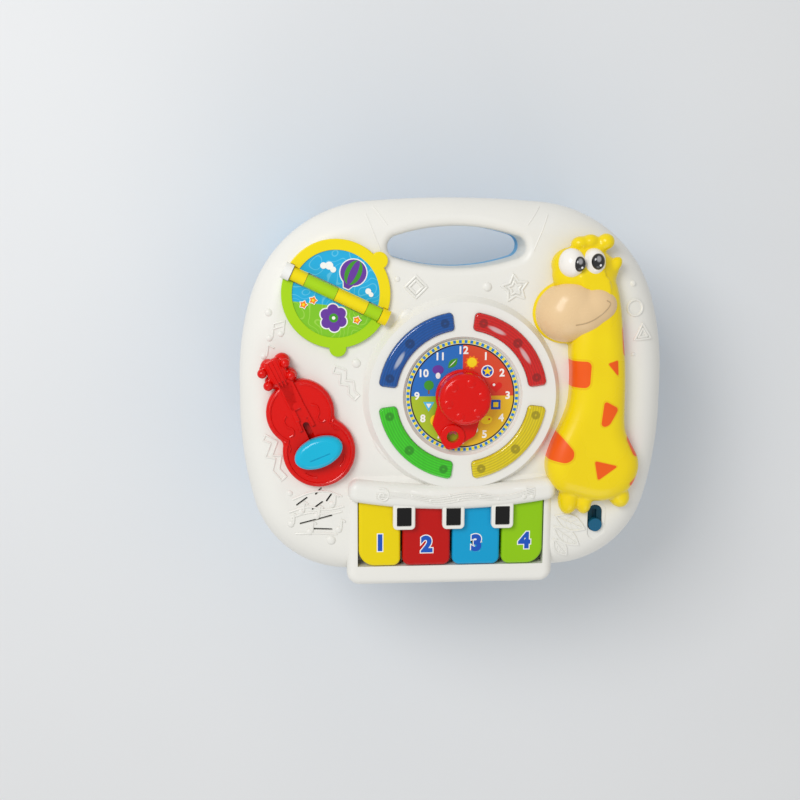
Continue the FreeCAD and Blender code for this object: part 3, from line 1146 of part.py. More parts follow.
# The battery bay and the fasteners and leads inside the case.
half_x, half_y, cell_middle, ceiling = battery_room()
door = plate("door_blank", "cell_length + 2 * contact_room + 2 * door_lip - 2 * fit_gap",
             "3 * cell_pitch + 1 + 2 * door_lip - 2 * fit_gap", "door_thickness", "1", "battery_x", "battery_y",
             "tray_floor")
piece("battery_door", cut(door, cylinder("door_screw_radius", "door_thickness * 3",
                                         (door_screw_x(), "battery_y", "tray_floor - door_thickness")),
                          cylinder("screw_head_radius + running_gap", "1.2 + 1",
                                   (door_screw_x(), "battery_y", "tray_floor - 1"))))
piece("battery_door_screw", join(
    cylinder("screw_head_radius", "1.2", (door_screw_x(), "battery_y", "tray_floor")),
    cylinder("door_screw_radius", "7", (door_screw_x(), "battery_y", "tray_floor + 1.2"))))
cells = []
contacts = []
for step in (-1, 0, 1):
    y = "battery_y + %d * cell_pitch" % step
    z = "tray_floor + door_thickness + cell_radius + running_gap"
    cells.append(join(cylinder("cell_radius", "cell_length - 1.2", ("battery_x - cell_length / 2", y, z), (0, 1, 0, 90)),
                      cylinder("2.7", "1.2", ("battery_x + cell_length / 2 - 1.2", y, z), (0, 1, 0, 90))))
    for end in (-1, 1):
        start = "battery_x + cell_length / 2" if end > 0 else "battery_x - cell_length / 2 - contact_room"
        flat = "battery_x + cell_length / 2 + contact_room - 0.4" if end > 0 else start
        contacts.append(join(
            primitive("Cone", (start, y, z), (0, 1, 0, 90), Radius1="3.5" if end < 0 else "2.5",
                      Radius2="2.5" if end < 0 else "3.5", Height="contact_room"),
            box("0.4", "cell_radius * 1.6", "cell_radius * 1.6",
                (flat, y + " - cell_radius * 0.8", z + " - cell_radius * 0.8"))))
piece("batteries", group(*cells))
piece("battery_contacts", group(*contacts))
feature("case_screws", screws(CASE_SCREWS, size.split_level - size.head_seat_drop, size.screw_length))
under_board = board_top - size.board_thickness
bay_top = ceiling + size.battery_wall
feature("battery_leads", Part.makeCompound([
    lead([(x, size.battery_y, bay_top), (x, size.battery_y, bay_top + 10), (x + 12, size.battery_y + 4, under_board - 12),
          (x + 12, size.battery_y + 4, under_board)]) for x in (-20, -15)]))
feature("speaker_leads", Part.makeCompound([speaker_lead(turn) for turn in (0, 20)]))

doc.recompute()
for item in doc.Objects:
    if "Invalid" in item.State or "Error" in item.State:
        raise RuntimeError("%s (%s) failed: %s" % (item.Name, item.Label, item.State))
os.makedirs("parts", exist_ok=True)
labels = [item.Label for item in PIECES]
if len(set(labels)) != len(labels):
    raise RuntimeError("two sub-parts share a label")
for item in PIECES:
    shape = item.Shape
    if shape.isNull() or not shape.isValid():
        raise RuntimeError("the shape of %s is empty or not valid" % item.Label)
    shape.exportStep("parts/%s.step" % item.Label)
    print("%-22s %2d solids %9.0f mm3" % (item.Label, len(shape.Solids), shape.Volume))
print(len(PIECES), "sub-parts")
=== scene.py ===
# %% [markdown]
# # A musical activity table, dressed around its construction
# The construction already holds every piece at its real size: a white top shell on a light-blue tray and
# four legs, with a clock, a piano, a violin, a little book and a giraffe. This file gives those pieces
# their finish, adds the prints and the small relief, and models the giraffe as one soft form.
# Everything is in metres. The piano is at -Y, the carrying handle at +Y and the giraffe at +X.

# %% Load the construction and keep its box
import json
import math
from functools import reduce
import bpy
from mathutils import Matrix, Vector


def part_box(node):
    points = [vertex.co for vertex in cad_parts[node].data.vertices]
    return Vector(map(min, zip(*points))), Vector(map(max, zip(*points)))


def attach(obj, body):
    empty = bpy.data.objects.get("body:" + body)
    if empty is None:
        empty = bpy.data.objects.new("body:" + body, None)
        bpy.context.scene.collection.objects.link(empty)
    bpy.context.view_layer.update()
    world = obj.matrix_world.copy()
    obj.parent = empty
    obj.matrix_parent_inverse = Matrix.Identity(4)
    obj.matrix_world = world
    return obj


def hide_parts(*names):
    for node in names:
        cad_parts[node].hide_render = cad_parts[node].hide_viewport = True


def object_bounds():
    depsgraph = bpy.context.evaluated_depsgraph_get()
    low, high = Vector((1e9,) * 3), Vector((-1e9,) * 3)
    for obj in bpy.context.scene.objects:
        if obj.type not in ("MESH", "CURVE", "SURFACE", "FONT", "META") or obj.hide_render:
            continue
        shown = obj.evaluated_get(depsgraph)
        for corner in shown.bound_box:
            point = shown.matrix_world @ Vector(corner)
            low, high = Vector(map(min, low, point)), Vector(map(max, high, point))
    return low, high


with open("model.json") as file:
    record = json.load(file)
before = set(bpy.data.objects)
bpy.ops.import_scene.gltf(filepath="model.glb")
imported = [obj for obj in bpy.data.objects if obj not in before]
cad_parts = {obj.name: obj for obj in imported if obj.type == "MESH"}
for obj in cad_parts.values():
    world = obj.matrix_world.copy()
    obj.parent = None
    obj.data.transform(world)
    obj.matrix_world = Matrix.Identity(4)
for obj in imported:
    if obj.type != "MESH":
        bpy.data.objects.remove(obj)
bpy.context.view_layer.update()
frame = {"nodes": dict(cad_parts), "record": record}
nodes = frame["nodes"]
bpy.ops.object.select_all(action="DESELECT")
print("nodes in the construction:", len(nodes))

# %% [markdown]
# Most places on the toy are easiest to think of in millimetres, as a maker would measure them with a
# ruler. `MM` turns them into metres. Heights come from the construction: a ray sent straight down onto
# a piece tells how high it is there, so whatever is added rests on what carries it.

# %% Millimetres, and the height of a piece under a point
MM = 0.001
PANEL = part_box("violin_body")[0].z
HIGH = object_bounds()[1].z + 0.1


def level(carrier, x, y):
    """The height of a piece's top under a point, or None beside the piece."""
    hit, spot, normal, face = carrier.ray_cast(Vector((x, y, HIGH)), Vector((0, 0, -1)))
    return spot.z if hit else None


print("flat panel at", round(PANEL / MM, 1), "mm")

# %% [markdown]
# ## Finishes
# A moulded toy is never one flat colour. The plastic flows into the mould and leaves faint cloudy marks,
# the mould's own fine grain breaks up the gloss, and little fingers leave hairline scuffs. Each of these
# is a noise pattern read from the piece's own coordinates. The class below lets a pattern be written as a
# sum, such as `0.3 + 0.1 * cloud`, and every operator adds one node.

# %% Shader sums: one class for a socket, one for a finish
class Pattern:
    """A shader socket that takes part in Python sums."""

    def __init__(self, finish, socket):
        self.finish = finish
        self.socket = socket

    def maths(self, operation, first, second):
        return self.finish.node("Math", {"operation": operation}, {0: first, 1: second})

    def __add__(self, other):
        return self.maths("ADD", self, other)

    def __sub__(self, other):
        return self.maths("SUBTRACT", self, other)

    def __mul__(self, other):
        return self.maths("MULTIPLY", self, other)

    def __truediv__(self, other):
        return self.maths("DIVIDE", self, other)

    def __rsub__(self, other):
        return self.maths("SUBTRACT", other, self)

    __radd__ = __add__
    __rmul__ = __mul__

    def larger(self, other):
        return self.maths("MAXIMUM", self, other)

    def smaller(self, other):
        return self.maths("MINIMUM", self, other)


class Finish:
    """A material whose nodes are added by sums of patterns. Sockets that stay constant are set by name."""

    def __init__(self, name, **constants):
        self.material = bpy.data.materials.new(name)
        self.material.use_nodes = True
        self.tree = self.material.node_tree
        self.shader = self.tree.nodes["Principled BSDF"]
        for socket, amount in constants.items():
            self.shader.inputs[socket.replace("_", " ")].default_value = amount

    def node(self, kind, settings=None, inputs=None, out=0):
        """Any node by its type: its settings first, then the values or links of its sockets."""
        made = self.tree.nodes.new("ShaderNode" + kind)
        for name, amount in (settings or {}).items():
            setattr(made, name, amount)
        for name, amount in (inputs or {}).items():
            if isinstance(amount, Pattern):
                self.tree.links.new(amount.socket, made.inputs[name])
            else:
                made.inputs[name].default_value = amount
        return Pattern(self, made.outputs[out])

    def feed(self, **patterns):
        """Links patterns to the shader's sockets."""
        for socket, pattern in patterns.items():
            self.tree.links.new(pattern.socket, self.shader.inputs[socket.replace("_", " ")])
        return self

    def spot(self, centre=(0, 0, 0), turn=0.0, stretch=(1, 1, 1)):
        """Object coordinates, moved to a centre, turned about Z and stretched."""
        place = self.node("TexCoord", out="Object")
        moved = self.node("VectorMath", {"operation": "SUBTRACT"}, {0: place, 1: centre})
        return self.node("Mapping", {}, {"Vector": moved, "Rotation": (0, 0, -turn), "Scale": stretch})

    def axis(self, spot, letter):
        return self.node("SeparateXYZ", {}, {0: spot}, letter)

    def far(self, centre):
        """How far, in millimetres, a place lies in plan from a centre in metres."""
        flat = self.spot((centre[0], centre[1], 0), stretch=(1, 1, 0))
        return self.node("VectorMath", {"operation": "LENGTH"}, {0: flat}, "Value") / MM

    def wave(self, pattern):
        """Runs from 0 to a half and back each time the pattern grows by 1."""
        return self.node("Math", {"operation": "PINGPONG"}, {0: pattern, 1: 0.5})

    def noise(self, spot, scale, detail=2.0):
        return self.node("TexNoise", {}, {"Vector": spot, "Scale": scale, "Detail": detail}, "Fac")

    def step(self, pattern, low, high):
        """Runs smoothly from 0 at low to 1 at high."""
        return self.node("MapRange", {"interpolation_type": "SMOOTHSTEP"},
                         {0: pattern, 1: low, 2: high, 3: 0.0, 4: 1.0})

    def mix(self, factor, first, second):
        """One colour where the factor is 0, the other where it is 1."""
        return self.node("Mix", {"data_type": "RGBA"}, {0: factor, 6: first, 7: second}, 2)

    def bump(self, height, strength, distance=0.0002):
        return self.node("Bump", {}, {"Height": height, "Strength": strength, "Distance": distance})


def paint(red, green, blue):
    """A screen colour from 0 to 255 as the linear colour that a shader works with."""
    screen = [channel / 255 for channel in (red, green, blue)]
    linear = [c / 12.92 if c <= 0.04045 else ((c + 0.055) / 1.055) ** 2.4 for c in screen]
    return (*linear, 1.0)


def shade_of(colour, factor):
    """The same colour, lighter or darker."""
    return (*[min(1.0, channel * factor) for channel in colour[:3]], 1.0)


print("shader helpers ready")

# %% [markdown]
# The first finish is the one nearly every piece wears: glossy moulded plastic. Three patterns share the
# work. A wide cloud shifts the colour by a few percent, a fine grain dents the surface by a few hundredths
# of a millimetre, and thin stretched scuffs make the gloss a little duller where they lie.

# %% Moulded plastic
CLOUD_SCALE = 28
GRAIN_SCALE = 2200
SCUFF_SCALE = 240
SHINE = 0.28


def moulded(name, colour, roughness=0.28, grain=0.05, cloud=0.05, coat=0.0):
    """Glossy injection-moulded plastic with flow clouds, mould grain and hairline scuffs."""
    finish = Finish(name, IOR=1.5, Specular_IOR_Level=SHINE, Coat_Roughness=0.08, Coat_Weight=coat)
    place = finish.spot()
    clouds = finish.noise(place, CLOUD_SCALE)
    dust = finish.noise(place, SCUFF_SCALE, 4)
    grains = finish.noise(place, GRAIN_SCALE, 3)
    long_scratch = finish.noise(finish.spot(turn=0.6, stretch=(1, 14, 14)), 60, 4)
    scuffs = finish.step(long_scratch, 0.62, 0.72)
    base = finish.mix(clouds, shade_of(colour, 1 - cloud), shade_of(colour, 1 + cloud))
    worn = finish.mix(finish.step(dust, 0.55, 0.85) * 0.12, base, shade_of(colour, 0.86))
    gloss = roughness - 0.05 + 0.1 * clouds + 0.12 * scuffs + 0.05 * dust
    height = grains + 0.35 * scuffs
    return finish.feed(Base_Color=worn, Roughness=gloss, Normal=finish.bump(height, grain))


SHELL_WHITE = paint(233, 232, 226)
TRAY_BLUE = paint(62, 176, 226)
KEY_PAINTS = {"yellow": paint(232, 208, 0), "red": paint(188, 12, 8),
              "blue": paint(6, 156, 206), "green": paint(142, 198, 8)}
TOY_YELLOW = paint(240, 214, 0)
TOY_RED = paint(218, 8, 0)

PLASTICS = {
    "white_shell": ("white moulding", SHELL_WHITE, 0.3, 0.06, 0.02),
    "light_blue": ("light blue moulding", TRAY_BLUE, 0.32, 0.06, 0.05),
    "yellow": ("yellow moulding", TOY_YELLOW, 0.26, 0.05, 0.04),
    "red": ("red moulding", TOY_RED, 0.16, 0.04, 0.05, 0.1),
    "blue": ("sky blue moulding", paint(16, 180, 216), 0.16, 0.04, 0.04, 0.1),
    "green": ("lime green moulding", paint(164, 212, 20), 0.28, 0.05, 0.04),
    "black": ("gloss black moulding", paint(14, 14, 15), 0.1, 0.03, 0.1, 0.1),
    "white_part": ("white part", paint(240, 240, 236), 0.24, 0.04, 0.02),
    "muzzle_beige": ("beige moulding", paint(230, 200, 152), 0.34, 0.08, 0.04),
    "switch_teal": ("dark teal moulding", paint(12, 70, 92), 0.4, 0.1, 0.08),
    "chip_black": ("chip moulding", paint(26, 26, 28), 0.55, 0.3, 0.1),
    "rubber_dome": ("silicone rubber", paint(196, 196, 188), 0.6, 0.2, 0.05),
    "wire_red": ("wire insulation", paint(190, 20, 16), 0.45, 0.1, 0.08),
    "magnet": ("painted magnet", paint(72, 72, 78), 0.5, 0.4, 0.15),
    "cell_case": ("cell sleeve", paint(58, 70, 84), 0.3, 0.05, 0.12, 0.2),
}
finishes = {slot: moulded(*row) for slot, row in PLASTICS.items()}
key_finishes = {name: moulded(name + " key", colour, 0.3, 0.08, 0.04) for name, colour in KEY_PAINTS.items()}
print("plastics:", len(finishes) + len(key_finishes))

# %% [markdown]
# A few pieces inside the case are not moulded plastic. Plated steel has fine brushed lines in one
# direction, so its roughness is read from a stretched noise. The circuit board is a lacquered green sheet
# with paler copper tracks, which a Voronoi pattern suggests, and the loudspeaker's cone is pressed paper.

# %% Metal, circuit board, paper and clear lamps
def plated(name, colour, roughness):
    """Plated metal with fine drawn lines and a few dull spots."""
    finish = Finish(name, Metallic=1.0)
    lines = finish.noise(finish.spot(stretch=(40, 1, 1)), 120, 3)
    spots = finish.step(finish.noise(finish.spot(), 300), 0.6, 0.75)
    tone = finish.mix(spots, colour, shade_of(colour, 0.7))
    return finish.feed(Base_Color=tone, Roughness=roughness + 0.2 * lines + 0.2 * spots,
                       Normal=finish.bump(lines, 0.08))


def circuit_board():
    """Green lacquer over copper tracks and round solder spots."""
    finish = Finish("circuit board", IOR=1.5)
    place = finish.spot()
    tracks = finish.node("TexVoronoi", {"feature": "DISTANCE_TO_EDGE"}, {"Vector": place, "Scale": 220},
                         "Distance")
    pads = finish.node("TexVoronoi", {}, {"Vector": place, "Scale": 420}, "Distance")
    track = 1 - finish.step(tracks, 0.06, 0.1)
    pad = 1 - finish.step(pads, 0.12, 0.16)
    lacquer = finish.mix(track, paint(18, 92, 52), paint(44, 130, 72))
    colour = finish.mix(pad, lacquer, paint(190, 192, 190))
    return finish.feed(Base_Color=colour, Roughness=0.35 - 0.1 * track, Normal=finish.bump(track + pad, 0.3))


def pressed_paper():
    """Dark pressed paper with matted fibres."""
    finish = Finish("pressed paper", Roughness=0.9)
    fibres = finish.noise(finish.spot(stretch=(3, 1, 1)), 900, 6)
    colour = finish.mix(fibres, paint(30, 30, 32), paint(66, 64, 62))
    return finish.feed(Base_Color=colour, Normal=finish.bump(fibres, 0.6))


def clear_lamp():
    """The clear epoxy of a small lamp, a little cloudy."""
    finish = Finish("lamp epoxy", IOR=1.5, Transmission_Weight=0.7)
    haze = finish.noise(finish.spot(), 500)
    return finish.feed(Base_Color=finish.mix(haze, paint(214, 214, 206), paint(244, 244, 240)),
                       Roughness=0.08 + 0.15 * haze)


finishes["steel"] = plated("plated steel", paint(176, 178, 182), 0.22)
finishes["brass_contact"] = plated("nickel brass", paint(212, 186, 120), 0.24)
finishes["board_green"] = circuit_board()
finishes["cone_paper"] = pressed_paper()
finishes["lamp_clear"] = clear_lamp()
print("finishes so far:", len(finishes))

# %% [markdown]
# ## The lamp lenses
# Each lens is a curved bar of tinted clear plastic. Light goes in, so the shader lets part of it through.
# The two screw posts near the ends and the lamp under the middle show through the plastic, and their
# shade is painted into the colour as darker rings. Their places follow from the lens ring: a radius and
# an angle about the dial's centre. Fine ribs run along the bar to spread the light, and long painted
# glints stand for the lamp's reflection on the bar's curved top.

# %% Where the dial and its lens ring are
plate_low, plate_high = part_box("dial_plate")
DIAL = Vector(((plate_low.x + plate_high.x) / 2, (plate_low.y + plate_high.y) / 2, plate_high.z))
LENS_RADIUS = 58 * MM
# Radii of the painted shade rings round the lamp and the posts.
LAMP_ANGLE, LAMP_SHADOW = 45, 3.5
POST_ANGLE, POST_SHADOW = 14.6, 3.2
RIB_STEP = 2.0
# Painted glints: where the painted reflections lie on the red and blue lenses, and how long and wide they
# are.
GLINT_RADIUS = LENS_RADIUS - 1.5 * MM
GLINTS = {"lens_red": (34, 64), "lens_blue": (60,)}
GLINT_LONG, GLINT_WIDE = 9 * MM, 2.2 * MM
LENS_TURNS = {"lens_red": 0, "lens_blue": 90, "lens_green": 180, "lens_yellow": 270}


def on_dial(radius, degrees):
    """A place at a radius and an angle about the dial's centre."""
    return Vector((DIAL.x + radius * math.cos(math.radians(degrees)),
                   DIAL.y + radius * math.sin(math.radians(degrees)), DIAL.z))


print("dial centre", [round(c / MM, 1) for c in DIAL])


# %% Tinted lens plastic
def tinted(name, colour, turn, glints):
    """Tinted clear plastic with painted shade rings where the posts and lamp show through, and painted glints
    for the lamp's reflection.
    """
    finish = Finish(name, IOR=1.49, Specular_IOR_Level=0.4, Transmission_Weight=0.12, Coat_Weight=0.6,
                    Coat_Roughness=0.03)
    # Painted shade: a darker ring, lighter in its middle, where each post and the lamp show through.
    rings = []
    for degrees, radius in ((POST_ANGLE, POST_SHADOW), (LAMP_ANGLE, LAMP_SHADOW),
                            (90 - POST_ANGLE, POST_SHADOW)):
        far = finish.far(on_dial(LENS_RADIUS, turn + degrees))
        disc = 1 - finish.step(far, radius - 0.4, radius + 0.7)
        core = 1 - finish.step(far, 0.6, 1.2)
        rings.append(disc * 0.7 - core * 0.4)
    shadow = reduce(Pattern.larger, rings)
    ribs = finish.step(finish.wave(finish.far(DIAL) / RIB_STEP), 0.1, 0.4)
    streaks = finish.noise(finish.spot(turn=math.radians(turn + 45), stretch=(14, 1, 1)), 40, 3)
    tone = finish.mix(streaks, shade_of(colour, 0.86), shade_of(colour, 1.1))
    tone = finish.mix(ribs * 0.6, tone, shade_of(colour, 0.62))
    # Painted highlight: each glint is a pale streak in the colour that stands for the lamp's reflection.
    for degrees in glints:
        flat = finish.spot(on_dial(GLINT_RADIUS, turn + degrees), math.radians(turn + degrees + 90))
        along, across = finish.axis(flat, "X") / GLINT_LONG, finish.axis(flat, "Y") / GLINT_WIDE
        glint = 1 - finish.step(along * along + across * across, 0.1, 1.0)
        tone = finish.mix(glint * 0.5, tone, paint(235, 238, 240))
    colour_here = finish.mix(shadow, tone, shade_of(colour, 0.3))
    return finish.feed(Base_Color=colour_here, Roughness=0.08 + 0.1 * streaks,
                       Normal=finish.bump(ribs + streaks, 0.12))


LENS_PAINTS = {"lens_red": paint(222, 14, 8), "lens_blue": paint(8, 86, 168),
               "lens_green": paint(62, 214, 28), "lens_yellow": paint(236, 214, 0)}
for name, colour in LENS_PAINTS.items():
    finishes[name] = tinted(name.replace("_", " "), colour, LENS_TURNS[name], GLINTS.get(name, ()))
print("lens finishes:", len(LENS_PAINTS))

# %% [markdown]
# ## The printed clock face
# The dial's print is flat ink: four coloured quarters, a black line, and a dashed band round the edge.
# All of it is a matter of angle and radius about the centre, so the shader works those two out and picks
# a colour. The numbers and the little pictures stand on top as thin pieces of their own.

# %% Clock print
BLACK_RING = (39.2, 40.3)
DASH_BAND = (40.6, 43.0)
DASHES = 60
BORDER = paint(240, 238, 230)


def clock_print():
    """Quarters, black ring and dashed band, all from the angle and the radius about the centre."""
    finish = Finish("clock print", IOR=1.5, Specular_IOR_Level=SHINE)
    flat = finish.spot((DIAL.x, DIAL.y, 0))
    x, y = finish.axis(flat, "X"), finish.axis(flat, "Y")
    far = finish.far(DIAL)
    right = finish.step(x, -0.1 * MM, 0.1 * MM)
    rear = finish.step(y, -0.1 * MM, 0.1 * MM)
    glow = finish.step(far, 12, 38)
    orange = finish.mix(glow, paint(244, 168, 24), paint(226, 180, 14))
    lime = finish.mix(glow, paint(120, 176, 24), paint(166, 190, 20))
    crimson = finish.mix(glow, paint(222, 30, 20), paint(214, 66, 24))
    azure = finish.mix(glow, paint(20, 118, 200), paint(16, 104, 190))
    quarters = finish.mix(rear, finish.mix(right, lime, orange), finish.mix(right, azure, crimson))
    turn = finish.node("Math", {"operation": "ARCTAN2"}, {0: y, 1: x}) * (DASHES / (2 * math.pi))
    phase = finish.wave(turn + DASHES)
    dashes = finish.mix(finish.step(phase, 0.22, 0.27), paint(232, 220, 40), paint(12, 120, 196))
    face = quarters
    for edge, colour in zip(BLACK_RING + DASH_BAND, (paint(18, 16, 14), BORDER, dashes, BORDER)):
        face = finish.mix(finish.step(far, edge, edge + 0.2), face, colour)
    grain = finish.noise(finish.spot(), 1800, 3)
    worn = finish.mix(grain * 0.04, face, paint(250, 246, 236))
    return finish.feed(Base_Color=worn, Roughness=0.32 + 0.12 * grain, Normal=finish.bump(grain, 0.04))


finishes["dial_print"] = clock_print()
print("clock print: dashes", DASHES)

# %% [markdown]
# Now every piece of the construction gets the finish that its record names. The keys have finishes of
# their own colour.

# %% Give each node its finish
slots = {part["node"]: part["material_slot"] for part in frame["record"]["subparts"]}
for name, node in nodes.items():
    finish = finishes[slots[name]]
    if name.startswith("key_") and name[4:] in key_finishes:
        finish = key_finishes[name[4:]]
    node.data.materials.clear()
    node.data.materials.append(finish.material)
# Painted shade: the power knob is blue like the slider, and is darkened here to the shade of its recess.
finishes["switch knob"] = moulded("power knob", paint(16, 92, 128), 0.22, 0.05, 0.05, 0.2)
nodes["power_switch_knob"].data.materials[0] = finishes["switch knob"].material
print("finished nodes:", len(nodes))

# %% [markdown]
# ## Modelling by hand
# Every added piece is made the way it would be by hand: a primitive is added, shaped in edit mode, given
# modifiers, each applied as soon as it is added, and then settled. Settling applies the piece's place, so
# its object sits at the origin as the construction's pieces do. Many operators act on all that is
# selected, so each helper starts by selecting nothing but its own piece.

# %% Select, join and settle
def solo(piece):
    """Selects one piece and makes it the active one."""
    bpy.ops.object.select_all(action="DESELECT")
    piece.select_set(True)
    bpy.context.view_layer.objects.active = piece


def join(pieces):
    """Several pieces as one."""
    bpy.ops.object.select_all(action="DESELECT")
    for piece in pieces:
        piece.select_set(True)
    bpy.context.view_layer.objects.active = pieces[0]
    bpy.ops.object.join()
    return bpy.context.object


def modify(piece, kind, **settings):
    """Adds a modifier and applies it."""
    solo(piece)
    modifier = piece.modifiers.new(kind.lower(), kind)
    for name, amount in settings.items():
        setattr(modifier, name, amount)
    bpy.ops.object.modifier_apply(modifier=modifier.name)


def wear(piece, finish):
    """Gives a piece its only material."""
    piece.data.materials.clear()
    piece.data.materials.append(finish.material)
    return piece


def settle(piece, name, body, stands_for=(), angle=40):
    """Applies a piece's place, smooths it, names it and says what it rides on."""
    solo(piece)
    bpy.ops.object.transform_apply(location=True, rotation=True, scale=True)
    bpy.ops.object.shade_smooth_by_angle(angle=math.radians(angle))
    piece.name = name
    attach(piece, body)
    if stands_for:
        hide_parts(*stands_for)
    return piece


def pick(piece, test):
    """In edit mode, selects only the faces whose centre and normal pass a test."""
    bpy.ops.mesh.select_mode(type="FACE")
    bpy.ops.mesh.select_all(action="DESELECT")
    bpy.ops.object.mode_set(mode="OBJECT")
    for face in piece.data.polygons:
        face.select = test(face.center, face.normal)
    bpy.ops.object.mode_set(mode="EDIT")


print("modelling helpers ready")

# %% [markdown]
# Most prints and small forms start as an outline in plan. A loop of points is smoothed by a Catmull-Rom
# curve, which passes through every point, and a plate is that outline filled and extruded upwards.

# %% Outlines, plates and eggs
PANEL_MM = PANEL / MM


def smooth_line(points, closed=True, between=5):
    """Points on a Catmull-Rom curve through the given points."""
    count = len(points)
    made = []
    for number in range(count if closed else count - 1):
        if closed:
            near = [points[(number + step) % count] for step in (-1, 0, 1, 2)]
        else:
            near = [points[min(max(number + step, 0), count - 1)] for step in (-1, 0, 1, 2)]
        for part in range(between):
            t = part / between
            made.append(tuple(0.5 * (2 * b + (c - a) * t + (2 * a - 5 * b + 4 * c - d) * t * t
                                     + (3 * b - a - 3 * c + d) * t ** 3) for a, b, c, d in zip(*near)))
    return made if closed else made + [points[-1]]


def turned(spots, x, y, turn):
    """Spots turned about the origin and then moved to a place."""
    return [(x + a * math.cos(turn) - b * math.sin(turn), y + a * math.sin(turn) + b * math.cos(turn))
            for a, b in spots]


def ring_of(x, y, radius, corners=32, turn=0.0, stretch=1.0):
    """The corners of a regular shape or an oval round a centre."""
    angles = [2 * math.pi * k / corners for k in range(corners)]
    return turned([(radius * math.cos(a), stretch * radius * math.sin(a)) for a in angles], x, y, turn)


def star_of(x, y, outer, inner, points, turn=0.0):
    """The corners of a star."""
    made = []
    for number in range(2 * points):
        radius = inner if number % 2 else outer
        angle = turn + math.pi * number / points
        made.append((x + radius * math.cos(angle), y + radius * math.sin(angle)))
    return made


def plate(outline, low, high):
    """An outline in millimetres, filled and extruded between two heights in metres."""
    bpy.ops.mesh.primitive_circle_add(vertices=len(outline), radius=0.01, fill_type="NGON")
    piece = bpy.context.object
    for vertex, (x, y) in zip(piece.data.vertices, outline):
        vertex.co = (x * MM, y * MM, low)
    solo(piece)
    bpy.ops.object.mode_set(mode="EDIT")
    bpy.ops.mesh.select_all(action="SELECT")
    bpy.ops.mesh.extrude_region_move(TRANSFORM_OT_translate={"value": (0, 0, high - low)})
    bpy.ops.mesh.select_all(action="SELECT")
    bpy.ops.mesh.normals_make_consistent(inside=False)
    bpy.ops.object.mode_set(mode="OBJECT")
    return piece


def egg(x, y, z, long, wide, tall, turn=0.0, tilt=0.0):
    """An egg by its centre and its three half lengths, in millimetres."""
    bpy.ops.mesh.primitive_uv_sphere_add(segments=40, ring_count=20, radius=1,
                                         location=(x * MM, y * MM, z * MM),
                                         rotation=(0, math.radians(tilt), math.radians(turn)),
                                         scale=(long * MM, wide * MM, tall * MM))
    return bpy.context.object


def eggs(*rows):
    """Eggs as above, but by the rise of each centre over the flat panel."""
    return [egg(x, y, PANEL_MM + rise, *rest) for x, y, rise, *rest in rows]


print("outline helpers ready")

# %% [markdown]
# ## The giraffe
# The real giraffe is one soft blow-moulded form, with no sharp line between its neck, its hips, its head
# and its feet. Sculptors block such a form out with simple lumps and then melt them together, and a voxel
# remesh does the same: the lumps are joined, the mesh is rebuilt as one skin a millimetre fine, and a
# smoothing pass softens every valley. Last, a flat cut lets it sit on the panel.
# The neck and the body are an outline with a rounded top. Insetting the top face again and again, each
# time a little less deep, rounds it as a quarter of an oval.

# %% The giraffe's body
GIRAFFE_SIDE = [(87, 44), (88, 20), (87.6, -2), (83, -18), (75, -36), (70.6, -52), (73, -65), (81, -74.5),
                (95, -79), (110, -82.5), (124, -80.5), (136, -73), (142.4, -60), (142.2, -48), (136, -36),
                (131, -24), (130.3, 0), (129.6, 22), (127.2, 46), (123, 78), (115, 96), (96, 100)]
TRUNK_HIGH = 20
ROUND_IN, ROUND_DOWN, ROUND_STEPS = 15, 11.5, 8
VOXEL = 1.1 * MM


def rounded_top(piece, inwards, downwards, steps):
    """Rounds a plate's top face by insets along a quarter of an oval, in millimetres."""
    solo(piece)
    bpy.ops.object.mode_set(mode="EDIT")
    pick(piece, lambda centre, normal: normal.z > 0.9)
    for step in range(steps):
        before, after = math.pi / 2 * step / steps, math.pi / 2 * (step + 1) / steps
        bpy.ops.mesh.inset(thickness=inwards * (math.cos(before) - math.cos(after)) * MM,
                           depth=downwards * (math.sin(after) - math.sin(before)) * MM)
    bpy.ops.object.mode_set(mode="OBJECT")


def melt(lumps, factor, iterations):
    """Lumps melted into one soft skin, cut flat at the panel."""
    form = join(lumps)
    solo(form)
    bpy.ops.object.transform_apply(location=True, rotation=True, scale=True)
    modify(form, "REMESH", mode="VOXEL", voxel_size=VOXEL)
    modify(form, "SMOOTH", factor=factor, iterations=iterations)
    bpy.ops.object.mode_set(mode="EDIT")
    bpy.ops.mesh.select_all(action="SELECT")
    bpy.ops.mesh.bisect(plane_co=(0, 0, PANEL), plane_no=(0, 0, 1), clear_inner=True, use_fill=True)
    bpy.ops.object.mode_set(mode="OBJECT")
    return form


trunk = plate(smooth_line(GIRAFFE_SIDE, between=3), PANEL - 5 * MM, PANEL + (TRUNK_HIGH - ROUND_DOWN) * MM)
rounded_top(trunk, ROUND_IN, ROUND_DOWN, ROUND_STEPS)
head = eggs((96.5, 94, 5, 25, 21, 14.5), (85.5, 101, 4, 14.5, 13, 13),
            (118.5, 100.8, 9, 7.5, 4.6, 4.6, 52), (116.5, 96, 7, 6, 5, 5, 30))
horns = eggs((91.5, 117.2, 8, 7, 5.2, 6.4, 8), (99.5, 118.6, 8, 6.6, 5.4, 6.6),
             (111.2, 118.4, 8.5, 6.6, 6.2, 7), (105.8, 114, 7, 7, 5, 7))
lip = eggs((83.8, 64.6, 0, 25.9, 24.6, 8.5, 6), (92, 68.4, 0, 25, 20.8, 10, 6))
feet = eggs((89.5, -81.5, 4, 8.2, 12.6, 10, -6), (101.5, -83, 4, 6.4, 11, 10),
            (129.4, -79, 4, 8.4, 10.5, 10, 24))
giraffe = melt([trunk] + head + horns + lip + feet, 0.6, 7)
print("giraffe faces:", len(giraffe.data.polygons))

